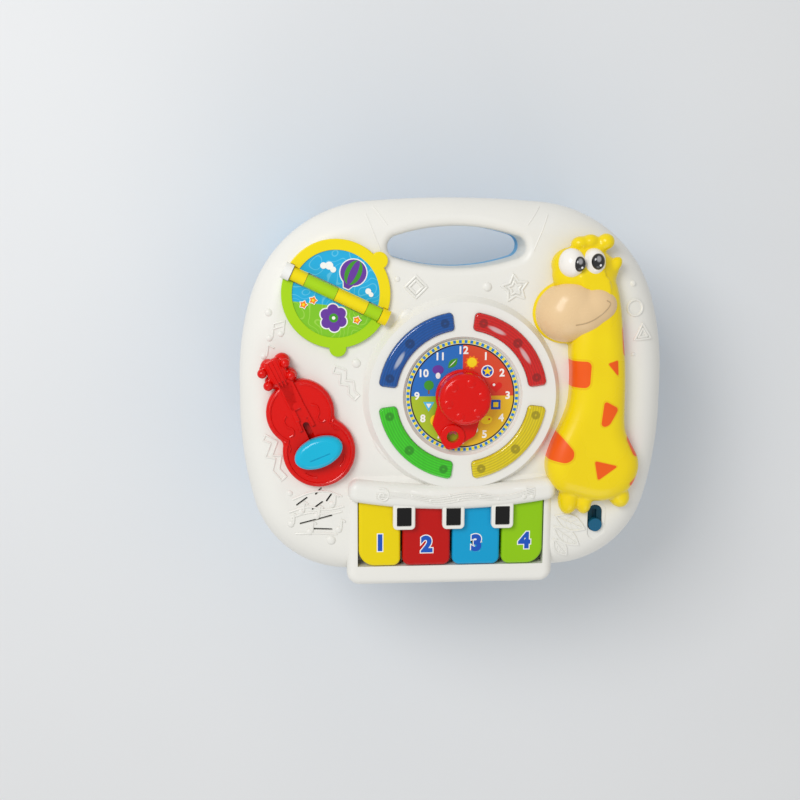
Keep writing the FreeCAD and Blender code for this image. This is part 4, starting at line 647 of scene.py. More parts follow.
# %% [markdown]
# The spots are paint. Each one is a polygon with rounded corners. For every side, the shader finds how far
# a point lies outside it, measured from a line a little inside, and adds up the squares. Where the sum is
# below the square of the corner radius, the point is inside a rounded polygon. One rule draws them all.

# %% Spots of paint
SPOTS = [
    (4.2, [(80, 8.4), (100, 8.4), (100.8, 28.8), (80, 28.8)]),
    (1.5, [(113, 27.2), (121.2, 29.8), (122, 16.8)]),
    (3, [(111.6, -1.2), (123.4, -7.6), (115.4, -21.6), (109.4, -21.4)]),
    (4.6, [(70, -18), (78.4, -25.6), (91, -42.4), (86, -50.4), (60, -46)]),
    (3, [(130.6, -31), (143, -26), (152, -46), (137.4, -46.4)]),
    (2, [(105.4, -48), (124, -52.4), (108.4, -63.8)]),
    (2.4, [(133.4, -67.6), (146, -58), (146, -76)]),
    (2, [(124.6, 54), (134, 58), (134, 28), (126.2, 33)]),
]


def rounded_polygon(finish, x, y, radius, corners):
    """A number that is below 1 inside a polygon with rounded corners. Sides run either way round."""
    area = sum(a[0] * b[1] - b[0] * a[1] for a, b in zip(corners, corners[1:] + corners[:1]))
    way = 1 if area > 0 else -1
    squares = []
    for a, b in zip(corners, corners[1:] + corners[:1]):
        run = math.hypot(b[0] - a[0], b[1] - a[1])
        across, up = way * (b[1] - a[1]) / run, -way * (b[0] - a[0]) / run
        out = (x * across + y * up - (a[0] * across + a[1] * up - radius)).larger(0.0)
        squares.append(out * out)
    return reduce(Pattern.__add__, squares) * (1 / radius ** 2)


def giraffe_paint():
    """Yellow plastic with orange painted spots and a fine darker line round each."""
    finish = Finish("giraffe yellow", IOR=1.5, Specular_IOR_Level=0.35, Coat_Weight=0.1, Coat_Roughness=0.1)
    place = finish.spot()
    x, y = finish.axis(place, "X") / MM, finish.axis(place, "Y") / MM
    nearest = reduce(Pattern.smaller, [rounded_polygon(finish, x, y, *spot) for spot in SPOTS])
    painted = 1 - finish.step(nearest, 0.92, 1.1)
    line = finish.step(nearest, 1.1, 1.3) * (1 - finish.step(nearest, 1.6, 2.2))
    clouds = finish.noise(place, CLOUD_SCALE)
    grains = finish.noise(place, GRAIN_SCALE, 3)
    body = finish.mix(clouds, paint(238, 206, 0), paint(246, 222, 2))
    body = finish.mix(line * 0.45, body, paint(226, 168, 0))
    colour = finish.mix(painted, body, finish.mix(clouds, paint(238, 84, 4), paint(244, 98, 8)))
    return finish.feed(Base_Color=colour, Roughness=0.24 + 0.08 * clouds + 0.06 * painted,
                       Normal=finish.bump(grains + 2 * painted, 0.05))


wear(giraffe, giraffe_paint())
settle(giraffe, "giraffe_form", "table", ["giraffe_body"])
print("spots painted:", len(SPOTS))

# %% [markdown]
# The muzzle is a separate shell of softer beige plastic: a big egg at the left that runs into a smaller
# one at the right. Four eggs are melted together as the body was, and a yellow lip of the body shows round
# their foot.

# %% The muzzle
muzzle = melt(eggs((83.8, 64.6, 3, 24.2, 23, 22.6, 6), (87, 71, 10, 21, 18.4, 15.4, 4),
                   (94, 66, 10, 22.5, 19, 15.6, 14), (103.4, 70.6, 12, 17.4, 16, 13.2)), 0.7, 18)
MUZZLE_BEIGE = paint(232, 200, 154)
wear(muzzle, moulded("muzzle beige", MUZZLE_BEIGE, 0.24, 0.05, 0.03, 0.05))
settle(muzzle, "muzzle_form", "table", ["giraffe_muzzle"], 60)
print("muzzle faces:", len(muzzle.data.polygons))

# %% [markdown]
# The eyes are two tall glossy eggs side by side, with the pupils as thin lenses on top. Each pupil has
# painted highlights that stand for the light's reflection: a grey sheen in the upper half and a small
# white dot at the lower right, both drawn as distances from a point.

# %% Eyes and pupils
whites = join(eggs((84.6, 102.4, 12.5, 10, 11.3, 11.6), (101.2, 103, 12.5, 9, 10.8, 11.4)))
wear(whites, moulded("eye white", paint(244, 240, 234), 0.14, 0.02, 0.02, 0.5))
settle(whites, "eye_whites", "table", ["giraffe_eyes"], 60)

PUPIL_SPOTS = [(88.4, 102.2), (102.2, 104)]


def pupil_paint():
    """Black with painted highlights: a grey sheen above and a white dot below."""
    finish = Finish("pupil", IOR=1.5, Coat_Weight=0.6, Coat_Roughness=0.03)
    place = finish.spot()
    x, y = finish.axis(place, "X") / MM, finish.axis(place, "Y") / MM

    def light_spots(right, up, squash, low, high):
        made = []
        for cx, cy in PUPIL_SPOTS:
            wide, tall = x - (cx + right), y - (cy + up)
            made.append(1 - finish.step(wide * wide * squash + tall * tall, low, high))
        return reduce(Pattern.larger, made)

    # Painted reflection: a grey sheen above each pupil's middle and a white highlight dot below it.
    sheen, dot = light_spots(-0.2, 2.1, 1.6, 1.2, 8.0), light_spots(1.3, -2.6, 1.0, 0.5, 1.0)
    grain = finish.noise(place, 900)
    colour = finish.mix(sheen, paint(16, 15, 16), paint(150, 150, 152))
    return finish.feed(Base_Color=finish.mix(dot, colour, paint(246, 246, 246)), Roughness=0.1 + 0.06 * grain)


pupils = join(eggs((*PUPIL_SPOTS[0], 22, 4.7, 5.7, 3.6, 0, 8), (*PUPIL_SPOTS[1], 22, 5.2, 6.1, 3.6, 0, 4)))
wear(pupils, pupil_paint())
settle(pupils, "pupils", "table", ["giraffe_pupils"], 60)
print("eyes ready")

# %% [markdown]
# ## Relief
# The shell, the violin and the piano's bar carry little raised lines: notes, stars, zigzags, staff lines.
# Each is a bead, which is a path with a round section, laid on the surface and sunk halfway into it. The
# path is divided finely and every point is dropped onto the carrier by a ray, so a bead also follows the
# rounded edge of the shell.

# %% Beads and domes
BEAD_RUN = 1.2


def divided(points, closed):
    """The same line with points no further apart than the bead's run."""
    made = []
    ends = zip(points, points[1:] + points[:1]) if closed else zip(points, points[1:])
    for a, b in ends:
        count = max(1, math.ceil(math.hypot(b[0] - a[0], b[1] - a[1]) / BEAD_RUN))
        made += [(a[0] + (b[0] - a[0]) * k / count, a[1] + (b[1] - a[1]) * k / count) for k in range(count)]
    return made if closed else made + [points[-1]]


def bead(points, radius, carrier, closed=False, lift=0.0):
    """A round line on a carrier, by points in millimetres."""
    data = bpy.data.curves.new("bead", "CURVE")
    data.dimensions = "3D"
    data.bevel_depth = radius * MM
    data.bevel_resolution = 2
    data.use_fill_caps = True
    spots = []
    for x, y in divided(points, closed):
        height = level(carrier, x * MM, y * MM)
        if height is not None:
            spots.append((x * MM, y * MM, height + lift * MM, 1.0))
    line = data.splines.new("POLY")
    line.points.add(len(spots) - 1)
    for point, spot in zip(line.points, spots):
        point.co = spot
    line.use_cyclic_u = closed
    piece = bpy.data.objects.new("bead", data)
    bpy.context.scene.collection.objects.link(piece)
    solo(piece)
    bpy.ops.object.convert(target="MESH")
    return bpy.context.object


def dome(x, y, radius, carrier, tall=None):
    """A low round bump on a carrier."""
    height = level(carrier, x * MM, y * MM) / MM
    return egg(x, y, height - 0.15, radius, radius, tall or radius * 0.55)


def arc(x, y, radius, start, stop, count=14):
    """Points on an arc, by its angles in degrees."""
    angles = [math.radians(start + (stop - start) * k / count) for k in range(count + 1)]
    return [(x + radius * math.cos(a), y + radius * math.sin(a)) for a in angles]


print("relief helpers ready")

# %% [markdown]
# The smile is a fine bead on the muzzle in a darker beige, which is painted shade standing for the
# shade inside an incised line. The knob's cap is a disc with a broad rounded edge, and six low bumps on
# it give small fingers a hold.

# %% The giraffe's smile and the knob's cap
CAP_RADIUS, CAP_EDGE, CAP_FOOT = 19.8, 4.4, 1.4
BUMP_COUNT, BUMP_RING, BUMP_TURN = 6, 13.2 * MM, 13
BUMP_SINK, BUMP_HALF, BUMP_TALL = 0.9, 4.2, 1.65
smile_line = [(109.4, 75.2), (112.4, 72.6), (107.4, 66.4), (100.4, 61.2), (93, 58.2), (86.4, 57)]
smile = bead(smooth_line(smile_line, False), 0.55, muzzle, lift=-0.15)
# Painted shade: the smile's darker beige stands for the shade inside the incised line.
wear(smile, moulded("smile beige", shade_of(MUZZLE_BEIGE, 0.66), 0.3))
settle(smile, "smile", "table")
knob = nodes["dial_knob"]
knob_top = level(knob, DIAL.x, DIAL.y)
cap = plate(ring_of(DIAL.x / MM, DIAL.y / MM, CAP_RADIUS, 72), DIAL.z + CAP_FOOT * MM,
            knob_top + 0.1 * MM)
modify(cap, "BEVEL", width=CAP_EDGE * MM, segments=6, limit_method="ANGLE")
bumps = []
for number in range(BUMP_COUNT):
    place = on_dial(BUMP_RING, BUMP_TURN + 360 / BUMP_COUNT * number)
    bumps.append(egg(place.x / MM, place.y / MM, knob_top / MM - BUMP_SINK, BUMP_HALF, BUMP_HALF, BUMP_TALL))
settle(wear(join([cap] + bumps), finishes["red"]), "knob_cap", "dial_knob")
print("smile and cap added, bumps on the cap:", len(bumps))

# %% [markdown]
# The shell's ornaments are scattered round its edge: bumps, a diamond, a star, a ring, a triangle, notes
# and zigzags. The same lines serve for all, with a flat look because half of each bead is under the
# surface. Beside the piano stand three leaves with their veins.

# %% Ornaments on the shell
shell = nodes["top_shell"]
BUMPS = [(-142.1, 64.7, 3), (-76.5, 26.1, 3.5), (-128, -75, 2.3), (-96.5, -113.1, 3.6), (-45.4, 89.7, 2.2),
         (23.1, 83.9, 3.5), (135.9, 86.1, 2.5), (138.1, 31.7, 1.7)]
ornaments = [dome(x, y, radius, shell) for x, y, radius in BUMPS]
FRAMES = [ring_of(-31.3, 83.9, radius, 4) for radius in (8.3, 5.2)]
FRAMES += [star_of(44.2, 82.8, outer, inner, 5, math.radians(98))
           for outer, inner in ((10.6, 5.6), (5.6, 3))]
FRAMES += [ring_of(138.3, 67.7, 6, 28)]
FRAMES += [ring_of(145.3, 47.3, radius, 3, math.radians(-26)) for radius in (8, 4.4)]
ornaments += [bead(outline, 1.05, shell, closed=True, lift=0.1) for outline in FRAMES]
BOLTS = [[(-93.5, 21.5), (-86.5, 19.5), (-87, 11.6), (-80.6, 10.6), (-80, 3.4), (-76, -0.5)],
         [(-147, -31), (-139.6, -34.6), (-143.6, -45.4), (-136.4, -46), (-138.4, -56), (-132.4, -63)]]


def bolt_outline(points, half):
    """A zigzag line widened into a ribbon's outline."""
    left, right = [], []
    for number, (x, y) in enumerate(points):
        before, after = points[max(number - 1, 0)], points[min(number + 1, len(points) - 1)]
        run = math.hypot(after[0] - before[0], after[1] - before[1])
        out = (-(after[1] - before[1]) / run * half, (after[0] - before[0]) / run * half)
        left.append((x + out[0], y + out[1]))
        right.append((x - out[0], y - out[1]))
    return left + right[::-1]


ornaments += [bead(bolt_outline(points, 2.6), 0.85, shell, closed=True, lift=0.1) for points in BOLTS]
NOTES = [(-141.8, 45.4, 2.5), (-133.4, 48.6, 2.3), (-146, 31.4, 2.4)]
ornaments += [dome(x, y, radius, shell) for x, y, radius in NOTES]
ornaments += [bead(points, 0.8, shell) for points in (
    [(-139.6, 46), (-138.4, 56.4), (-130.2, 58.6), (-131.4, 49)], [(-138.8, 52.6), (-130.8, 55)],
    [(-143.8, 32), (-142.8, 40.6), (-138.6, 38)])]
CREASES = [[(-69, 138), (-58, 111)], [(-63.5, 144), (-53, 130)]]
for side in (1, -1):
    ornaments += [bead([(side * x, y) for x, y in line], 0.55, shell, lift=-0.15) for line in CREASES]
ornaments += eggs((-36.5, 59.5, 0, 8, 8, 2.4), (-51.5, -41, 0, 17, 7.5, 3.2, -49))
print("ornaments on the shell:", len(ornaments))

# %% Leaves beside the piano
LEAVES = [((80, -97), (104.5, -108), 6.2), ((79.5, -106), (100, -121), 5.4), ((79.5, -116), (91, -130), 4.4)]


def leaf_line(root, tip, half, side):
    """One edge of a leaf, bowed to a side."""
    run = (tip[0] - root[0], tip[1] - root[1])
    long = math.hypot(*run)
    out = (-run[1] / long * side * half, run[0] / long * side * half)
    return [tuple(a + b * t + c * math.sin(math.pi * t) for a, b, c in zip(root, run, out))
            for t in [k / 12 for k in range(13)]]


for root, tip, half in LEAVES:
    ornaments += [bead(leaf_line(root, tip, half, side), 0.95, shell, lift=0.1) for side in (1, -1)]
    ornaments.append(bead([root, tip], 0.7, shell, lift=0.1))
    for t in (0.3, 0.5, 0.7):
        middle = (root[0] + (tip[0] - root[0]) * t, root[1] + (tip[1] - root[1]) * t)
        for side in (1, -1):
            edge = leaf_line(root, tip, half * 0.8, side)[min(12, round((t + 0.16) * 12))]
            ornaments.append(bead([middle, edge], 0.4, shell))
print("leaf lines added")

# %% [markdown]
# Over the loudspeaker, a few notes and staff lines run between the sound slits.

# %% Notes round the sound slits
STAVES = [[(-126, -80), (-112, -74.5), (-99, -74), (-88, -78)],
          [(-129, -90), (-114, -86), (-100, -88.5), (-86.5, -86)],
          [(-127, -94), (-112, -90.5), (-99, -92), (-88, -90)],
          [(-124, -107.6), (-108, -107.2), (-92, -108.4)]]
ornaments += [bead(smooth_line(points, False), 0.8, shell, lift=0.15) for points in STAVES]
for x, y in ((-119.5, -90), (-107.6, -93.4), (-95.5, -84.4), (-113, -106), (-90.6, -104.8), (-127.4, -99.6)):
    ornaments.append(dome(x, y, 2.7, shell, 1.7))
    ornaments.append(bead([(x + 2, y + 0.6), (x + 2.6, y + 8), (x + 5.2, y + 6.4)], 0.9, shell, lift=0.2))
settle(wear(join(ornaments), finishes["white_shell"]), "shell_relief", "table")
print("shell relief in one piece")

# %% [markdown]
# The piano's bar carries four thin staff lines that wave along it, a round flourish at the left and a pair
# of notes at the right. The bar is bowed, so a line's middle follows the same bow before it waves.

# %% Staff lines on the piano's bar
def on_bar(x, across):
    """A place on the bar: along it and across it from its middle line."""
    bow = 1 - ((x + 2.2) / 81.1) ** 2
    return (x, -71.6 - 6.6 * bow + across)


staff = []
for number in range(4):
    across = (number - 1.5) * 1.9
    line = [on_bar(x, across * (0.75 + 0.25 * math.cos(x / 13)) + 1.5 * math.sin(x / 8.5 + 0.3))
            for x in range(-62, 62, 3)]
    staff.append(bead(smooth_line(line, False, 3), 0.55, shell, lift=0.18))
for x, across in ((-34, 1.6), (-20, -1.9), (-5, 2.4), (2, -1.4), (19, 1.2), (33, -2.2)):
    staff.append(dome(*on_bar(x, across), 1.35, shell, 1.1))
swirl = [turned([(0.8 + 0.62 * turn, 0)], *on_bar(-57, 0), turn)[0] for turn in [k / 3 for k in range(26)]]
staff.append(bead(smooth_line(swirl, False, 2), 0.8, shell, lift=0.2))
x, y = on_bar(57, 0)
for note in (x - 2.4, x + 4.1):
    staff.append(dome(note - 1.6, y - 3, 2, shell, 1.3))
    staff.append(bead([(note, y - 2.6), (note, y + 4)], 0.55, shell, lift=0.15))
staff.append(bead([(x - 2.4, y + 4), (x + 4.1, y + 4)], 0.75, shell, lift=0.15))
settle(wear(join(staff), finishes["white_shell"]), "bar_relief", "table")
print("bar relief added")

# %% [markdown]
# On the violin a raised line follows the outline, and a sound hole and two short curves are raised on each
# side. Places are given along the violin's own middle line and across it.

# %% Lines on the violin
violin = nodes["violin_body"]
VIOLIN = (-105.2, -41)
VIOLIN_TURN = math.radians(25)


def on_violin(across, along):
    """A place on the violin, from the middle of its lower half."""
    return turned([(across, along)], *VIOLIN, VIOLIN_TURN)[0]


RIM_LOW, RIM_HIGH, HIGH_AT = 24.6, 22.8, 33.2
waist = (HIGH_AT ** 2 + RIM_LOW ** 2 - RIM_HIGH ** 2) / (2 * HIGH_AT)
waist_out = math.sqrt(RIM_LOW ** 2 - waist ** 2)
low_turn = math.degrees(math.atan2(waist, waist_out))
high_turn = math.degrees(math.atan2(waist - HIGH_AT, waist_out))
HOLE_SPOTS = [(10.4, 36), (13.6, 33.4), (13.4, 28.6), (10.4, 24.6), (11.6, 20.6), (15, 20.4)]
lines = [(arc(0, 0, RIM_LOW, low_turn, -180 - low_turn, 40), 0.9, 0.1),
         (arc(0, HIGH_AT, RIM_HIGH, high_turn, 66, 20), 0.9, 0.1),
         (arc(0, HIGH_AT, RIM_HIGH, 180 - high_turn, 114, 20), 0.9, 0.1)]
for side in (1, -1):
    lines += [([(side * a, b) for a, b in line], radius, lift) for line, radius, lift in (
        (smooth_line(HOLE_SPOTS, False), 0.85, 0.2), (arc(6, -6, 11.5, -70, -22), 0.85, 0.2),
        (arc(23, 14, 5, 120, 240), 0.7, 0.15))]
strings = [bead([on_violin(*spot) for spot in line], radius, violin, lift=lift)
           for line, radius, lift in lines]
print("violin lines:", len(strings))

# %% [markdown]
# The violin's neck is a bar that forks into two prongs over the slot. The head is a lobed plate with four
# ball pegs and raised strings. Bars are plates whose edges get a small bevel. A red floor closes the slot
# under the bow.

# %% The violin's neck and head
def violin_bar(corners, low, high, bevel):
    """A bevelled bar on the violin, by its outline on the violin's own lines."""
    piece = plate([on_violin(*corner) for corner in corners], low, high)
    modify(piece, "BEVEL", width=bevel * MM, segments=3, limit_method="ANGLE")
    return piece


violin_top = level(violin, on_violin(17, 30)[0] * MM, on_violin(17, 30)[1] * MM)
neck_top = violin_top + 2.2 * MM
strings.append(violin_bar([(-6, 37), (6, 37), (5, 60), (-5, 60)], violin_top - 1 * MM, neck_top, 0.8))
for side in (1, -1):
    strings.append(violin_bar([(side * 3.2, 38), (side * 6, 38), (side * 6.6, 20.5), (side * 3.6, 20.5)],
                              violin_top - 1 * MM, neck_top - 0.3 * MM, 0.7))
HEAD_SIDE, HEAD_ALONG = -2.3, 70
for across in (-1, 1):
    for along in (-1, 1):
        x, y = on_violin(HEAD_SIDE - 0.6 + across * 9.4, HEAD_ALONG - 2 + along * 5.2)
        strings.append(egg(x, y, neck_top / MM + 0.6, 3.7, 3.7, 3.7))
        x, y = on_violin(HEAD_SIDE + 1.4 + across * 5.6, HEAD_ALONG - 1 + along * 6)
        strings += eggs((x, y, 4, 6.2, 6.2, 6))
bars = [(-5, 5, 61, -5.6, 5.6, 80, violin_top, neck_top + 1.6 * MM, 1.2)]
bars += [(across - 0.55, across + 0.55, 58, across * 1.2 - 0.55, across * 1.2 + 0.55, 78.5,
          neck_top - 0.5 * MM, neck_top + 2.4 * MM, 0.3) for across in (-2.6, 0, 2.6)]
for left, right, foot, top_left, top_right, end, low, high, bevel in bars:
    corners = [(left, foot), (right, foot), (top_right, end), (top_left, end)]
    strings.append(violin_bar([(HEAD_SIDE + a, b) for a, b in corners], low, high, bevel))
SLOT = [(-8, -22), (8, -22), (8, 36), (-8, 36)]
SLOT_LOW, SLOT_HIGH = 0.05, 0.8
floor_plate = plate([on_violin(*corner) for corner in SLOT], PANEL + SLOT_LOW * MM, PANEL + SLOT_HIGH * MM)
settle(wear(join(strings + [floor_plate]), finishes["red"]), "violin_relief", "table")
print("violin pieces:", len(strings))

# %% [markdown]
# ## Prints
# The dial and the pages carry small pictures, and the keys carry numbers. A print is modelled as a plate a
# tenth of a millimetre thick, so it can be seen from any side and never fades into its ground. The
# pictures are plain everyday motifs, made from discs, stars and smooth outlines.

# %% Inks and motifs
INKS = {"white": (244, 244, 240), "yellow": (250, 222, 30), "orange": (244, 132, 20), "red": (218, 34, 26),
        "purple": (104, 58, 158), "blue": (28, 84, 186), "sky": (84, 188, 232), "leaf": (66, 152, 44),
        "brown": (138, 84, 34), "pink": (240, 130, 160)}


def ink(name):
    """A thin printed ink with a slightly uneven edge of gloss."""
    finish = Finish(name + " ink", IOR=1.5, Specular_IOR_Level=SHINE)
    grain = finish.noise(finish.spot(), 1500, 3)
    colour = paint(*INKS[name])
    return finish.feed(Base_Color=finish.mix(grain, shade_of(colour, 0.94), shade_of(colour, 1.05)),
                       Roughness=0.3 + 0.12 * grain)


inks = {name: ink(name) for name in INKS}
LAYER = 0.09 * MM


def heart_of(x, y, size):
    """A heart's outline."""
    turns = [2 * math.pi * k / 28 for k in range(28)]
    return [(x + size * math.sin(t) ** 3,
             y + size * (13 * math.cos(t) - 5 * math.cos(2 * t) - 2 * math.cos(3 * t) - math.cos(4 * t)) / 16)
            for t in turns]


def crescent(x, y, size):
    """A moon's outline: out along one arc and back along another."""
    return arc(x, y, size, 50, 310, 20) + arc(x + size * 0.58, y, size * 0.8, 288, 72, 14)


def lens_leaf(x, y, long, half, turn):
    """A leaf's outline with two pointed ends."""
    spots = [(long * (t - 0.5), half * math.sin(math.pi * t)) for t in [k / 8 for k in range(9)]]
    return turned(spots + [(a, -b) for a, b in reversed(spots[1:-1])], x, y, turn)


MOTIFS = [
    [("red", heart_of(0, 0, 3.6)), ("white", ring_of(-1.3, 1.2, 0.8, 16))],
    [("white", ring_of(0, 0, 3.7)), ("blue", ring_of(0, 0, 3)), ("yellow", star_of(0, 0, 2.8, 1.2, 5, 0.3))],
    [("orange", star_of(0, 0, 4.3, 3.1, 10)), ("yellow", ring_of(0, 0, 2.8))],
    [("leaf", lens_leaf(-0.6, -0.4, 8, 2.2, 0.8)), ("white", lens_leaf(-0.6, -0.4, 6, 0.25, 0.8))],
    [("purple", ring_of(0, 1.1, 3.4, 32, 0, 0.8)), ("white", ring_of(0, -2.4, 1.4, 24, 0, 1.3))],
    [("brown", [(-0.5, -4), (0.5, -4), (0.5, 0), (-0.5, 0)]), ("leaf", ring_of(0, 1.2, 2.9))],
    [("sky", ring_of(0, 0, 3.8, 3, 0.52)), ("white", ring_of(0, 0, 1.8, 3, 0.52))],
    [("yellow", crescent(-0.4, 0, 3.9))],
    [("pink", star_of(0, 0, 4.1, 2.3, 6)), ("yellow", ring_of(0, 0, 1.5, 20))],
    [("white", ring_of(*spot)) for spot in ((-2, -0.5, 1.9), (0.3, 0.6, 2.5), (2.6, -0.6, 1.7))],
    [("yellow", ring_of(0, 0, 3.4, 32, 0.2, 0.72)), ("red", ring_of(1.6, 0.5, 0.6, 14))],
    [("blue", ring_of(0, 0, 4, 4, 0.785)), ("yellow", ring_of(0, 0, 2.1, 4, 0.785))],
]


def printed(motif, x, y, carrier, scale):
    """A motif's plates at a place on a carrier, one layer above the other."""
    ground = level(carrier, x * MM, y * MM)
    made = []
    for layer, (colour, outline) in enumerate(motif, 1):
        spots = [(x + a * scale, y + b * scale) for a, b in outline]
        top = ground + layer * LAYER
        made.append(wear(plate(spots, top - 2 * LAYER, top), inks[colour]))
    return made


print("inks:", len(inks), "motifs:", len(MOTIFS))

# %% The clock's pictures
PICTURE_RING, NUMBER_RING = 26.8 * MM, 35 * MM
HOUR_STEP = 360 / 12
PICTURE_SCALE = 1.3
pictures = []
for number, motif in enumerate(MOTIFS):
    place = on_dial(PICTURE_RING, HOUR_STEP * (number + 0.5))
    pictures += printed(motif, place.x / MM, place.y / MM, nodes["dial_plate"], PICTURE_SCALE)
settle(join(pictures), "clock_pictures", "table")
print("pictures on the clock:", len(MOTIFS))

# %% [markdown]
# Numbers are text, turned into mesh before it is placed. Text made at the size of a few millimetres loses
# its curves, so it is made large, thickened by a small offset for a bold face, and then scaled down. The
# font's digits fill 0.7 of its size.

# %% Numbers
FONT_SHARE = 0.7
HOUR_TALL, HOUR_BOLD = 5.6, 0.27


def number_plate(words, x, y, low, high, tall, bold):
    """Digits of a height in millimetres, with their foot and top at heights in metres."""
    bpy.ops.object.text_add(location=(0, 0, 0))
    piece = bpy.context.object
    piece.data.body = words
    piece.data.align_x = "CENTER"
    piece.data.align_y = "CENTER"
    piece.data.size = tall / FONT_SHARE
    piece.data.offset = bold
    piece.data.space_character = 1.04
    piece.data.extrude = (high - low) / MM / 2
    piece.data.resolution_u = 6
    solo(piece)
    bpy.ops.object.convert(target="MESH")
    piece = bpy.context.object
    piece.scale = (MM, MM, MM)
    piece.location = (x * MM, y * MM, (low + high) / 2)
    bpy.ops.object.transform_apply(location=True, rotation=True, scale=True)
    return piece


digits = []
for hour in range(1, 13):
    place = on_dial(NUMBER_RING, 90 - HOUR_STEP * hour)
    digits.append(number_plate(str(hour), place.x / MM, place.y / MM, DIAL.z - LAYER, DIAL.z + LAYER,
                               HOUR_TALL, HOUR_BOLD))
settle(wear(join(digits), inks["white"]), "clock_numbers", "table")
print("numbers on the clock:", len(digits))

# %% Key numbers
KEY_PLACES = {"yellow": (-58.4, -115.6), "red": (-21.8, -117.4), "blue": (17.4, -117),
              "green": (55.6, -115.8)}
DIGIT_TALL, DIGIT_EDGE, DIGIT_BOLD = 12, 1.7, 0.95
for count, (name, (x, y)) in enumerate(KEY_PLACES.items(), 1):
    top = level(nodes["key_" + name], x * MM, y * MM)
    under = number_plate(str(count), x, y, top - 0.1 * MM, top + 0.1 * MM, DIGIT_TALL, DIGIT_EDGE)
    over = number_plate(str(count), x, y, top, top + 0.2 * MM, DIGIT_TALL, DIGIT_BOLD)
    wear(under, inks["white"])
    wear(over, inks["blue"])
    settle(join([under, over]), "number_" + str(count), "key_" + name)
print("key numbers:", len(KEY_PLACES))

# %% [markdown]
# ## The little book
# The two pages have a sunken label. Its ground is print: sky on the upper page and a green meadow with a
# strip of sky on the lower one, both with faint curling lines, which are the contours of a noise. The
# motifs stand on it as plates: a balloon above, and a large blossom with small orange ones below.

# %% Pages with their label
BOOK = (-91.7, 78.9)
BOOK_TURN = math.radians(-25.4)
LABEL_RADIUS = 33
LABEL_LOW, LABEL_HIGH = 197.6, 198.15
HINGE_HALF = 5.2
MEADOW_EDGE = 9
PAGE_LAYER = 0.04 * MM


def on_book(along, across):
    """A place on the book: along its hinge and across it, towards the upper page."""
    return turned([(along, across)], *BOOK, BOOK_TURN)[0]


def page_paint(name, rim, meadow):
    """Coloured plastic with a printed label inside its rim."""
    finish = Finish(name, IOR=1.5, Specular_IOR_Level=SHINE)
    flat = finish.spot((BOOK[0] * MM, BOOK[1] * MM, 0), BOOK_TURN)
    along, across = finish.axis(flat, "X") / MM, finish.axis(flat, "Y") / MM
    far = finish.far((BOOK[0] * MM, BOOK[1] * MM))
    height = finish.axis(finish.spot(), "Z") / MM
    risen, over = [finish.step(height, edge, edge + 0.2) for edge in (LABEL_LOW, LABEL_HIGH)]
    beside = finish.node("Math", {"operation": "ABSOLUTE"}, {0: across})
    clear = finish.step(beside, HINGE_HALF, HINGE_HALF + 0.3)
    label = (1 - finish.step(far, LABEL_RADIUS - 0.3, LABEL_RADIUS - 0.1)) * (risen * (1 - over)) * clear
    phase = finish.wave(finish.noise(finish.spot(), 42, 1) * 14)
    line = 1 - finish.step(phase, 0.05, 0.1)
    ground = finish.mix(line * 0.5, paint(36, 172, 222), paint(120, 208, 238))
    if meadow:
        green = finish.mix(line * 0.5, paint(128, 196, 40), paint(176, 220, 96))
        ground = finish.mix(finish.step(along * 0.35 - across, MEADOW_EDGE, MEADOW_EDGE + 0.6), ground, green)
    clouds = finish.noise(finish.spot(), CLOUD_SCALE)
    grain = finish.noise(finish.spot(), GRAIN_SCALE, 3)
    body = finish.mix(clouds, shade_of(rim, 0.95), shade_of(rim, 1.04))
    return finish.feed(Base_Color=finish.mix(label, body, ground), Roughness=0.26 + 0.1 * clouds,
                       Normal=finish.bump(grain, 0.04))


wear(nodes["page_yellow"], page_paint("yellow page", paint(240, 218, 10), False))
wear(nodes["page_green"], page_paint("green page", paint(166, 212, 20), True))


def page_prints(page, shapes):
    """Plates on a page, given along and across the book's hinge."""
    made = []
    for layer, (colour, outline) in enumerate(shapes):
        spots = [on_book(a, b) for a, b in outline]
        middle = (sum(p[0] for p in spots) / len(spots), sum(p[1] for p in spots) / len(spots))
        ground = level(nodes[page], middle[0] * MM, middle[1] * MM)
        top = ground + (layer + 2) * PAGE_LAYER
        made.append(wear(plate(spots, ground - LAYER, top), inks[colour]))
    return join(made)


balloon = [("white", ring_of(5, 20, 10.6)), ("white", [(-1, 14), (11, 14), (7.4, 6.4), (2.6, 6.4)]),
           ("purple", ring_of(5, 20, 9.8)), ("purple", [(-0.6, 14), (10.6, 14), (6.9, 7.2), (3.1, 7.2)]),
           ("leaf", ring_of(5, 20, 9.7 * 0.62, stretch=1 / 0.62)),
           ("purple", ring_of(5, 20, 9.75 * 0.28, stretch=1 / 0.28))]
balloon += [("white", ring_of(x, y, radius)) for x, y, radius in (
    (-13.5, 17, 3), (-17.4, 15.2, 2.4), (-9.6, 15.6, 2.2), (21, 12.2, 2.2), (24, 10.8, 1.8))]
settle(page_prints("page_yellow", balloon), "page_picture_upper", "page_yellow")
SIXTH = 1.0472
blossom = [(colour, ring_of(6 + out * math.cos(k * SIXTH), -17 + out * math.sin(k * SIXTH), radius, 24))
           for colour, out, radius in (("white", 6.4, 4.9), ("purple", 6.2, 4.1)) for k in range(6)]
blossom += [(colour, ring_of(6, -17, radius, corners)) for colour, radius, corners in (
    ("purple", 5, 24), ("leaf", 3.4, 24), ("white", 1.3, 18))]
for x, y in ((-13.5, -11.5), (-18.6, -17.5), (22.5, -11)):
    blossom += [("white", star_of(x, y, 3.7, 2.5, 5, 0.4)), ("orange", star_of(x, y, 3.1, 1.9, 5, 0.4)),
                ("yellow", ring_of(x, y, 1, 16))]
settle(page_prints("page_green", blossom), "page_picture_lower", "page_green")
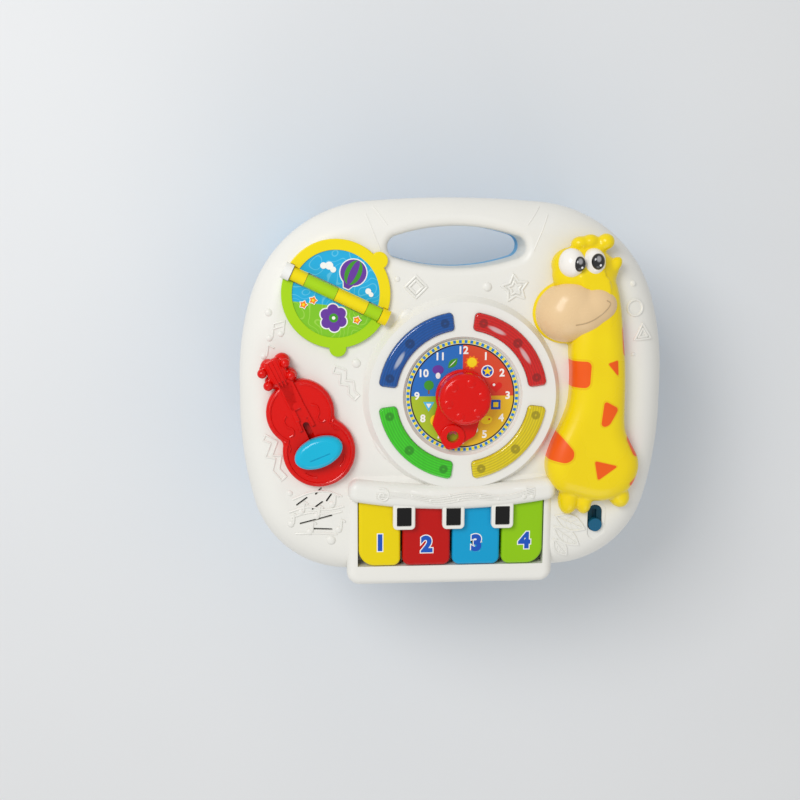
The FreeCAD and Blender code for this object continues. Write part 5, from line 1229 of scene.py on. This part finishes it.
print("pages printed")

# %% [markdown]
# ## Camera, floor and light
# The camera looks down on the table from where the picture was taken, with the same lens. The floor is
# plain and pale, and it keeps the table's soft shadow. One wide lamp stands behind the left corner and a
# weaker one in front, and the world fills in the rest at a level where colours come out about as written.

# %% Camera
CAMERA_PLACE = Vector((-0.111, 0.1448, 1.035))
CAMERA_RIGHT = Vector((0.9968, 0.0045, 0.0799))
CAMERA_UP = Vector((0.0094, 0.9850, -0.1721))
CAMERA_LENS, SENSOR_WIDTH = 50.19, 36
camera_data = bpy.data.cameras.new("camera")
camera_data.lens = CAMERA_LENS
camera_data.sensor_width = SENSOR_WIDTH
camera = bpy.data.objects.new("camera", camera_data)
bpy.context.scene.collection.objects.link(camera)
backward = CAMERA_RIGHT.cross(CAMERA_UP).normalized()
upward = backward.cross(CAMERA_RIGHT).normalized()
camera.matrix_world = Matrix((CAMERA_RIGHT.normalized(), upward, backward)).transposed().to_4x4()
camera.location = CAMERA_PLACE
bpy.context.scene.camera = camera
bpy.context.scene.view_settings.view_transform = "Standard"
print("camera at", list(CAMERA_PLACE))


# %% Floor
FLOOR_WIDTH, FLOOR_DROP = 8, 0.2 * MM


def pale_ground():
    """A pale matt floor with faint clouds, which takes a soft shadow."""
    finish = Finish("pale floor", Roughness=0.9)
    tone = finish.noise(finish.spot(), 3)
    return finish.feed(Base_Color=finish.mix(tone, paint(226, 228, 230), paint(232, 233, 234)))


bpy.ops.mesh.primitive_plane_add(size=FLOOR_WIDTH, location=(0, 0, -FLOOR_DROP))
floor = bpy.context.object
floor.name = "floor"
floor.data.materials.append(pale_ground().material)
print("floor ready")


# %% Light
LAMPS = [("key lamp", (-0.8, 0.7, 1.5), 0.7, 15), ("front fill", (0.3, -1.6, 1.2), 1.2, 5)]
LAMP_TARGET = Vector((0, 0, 0.15))
WORLD_COLOUR, WORLD_STRENGTH = (1.0, 0.995, 0.985, 1.0), 0.55


def lamp(name, place, width, power):
    """A square soft lamp that faces the table."""
    data = bpy.data.lights.new(name, "AREA")
    data.size = width
    data.energy = power
    thing = bpy.data.objects.new(name, data)
    bpy.context.scene.collection.objects.link(thing)
    thing.location = place
    thing.rotation_euler = (LAMP_TARGET - Vector(place)).to_track_quat("-Z", "Y").to_euler()


for row in LAMPS:
    lamp(*row)
world = bpy.data.worlds.new("studio")
bpy.context.scene.world = world
world.use_nodes = True
background = world.node_tree.nodes["Background"].inputs
background["Color"].default_value = WORLD_COLOUR
background["Strength"].default_value = WORLD_STRENGTH
print("lamps and world ready")
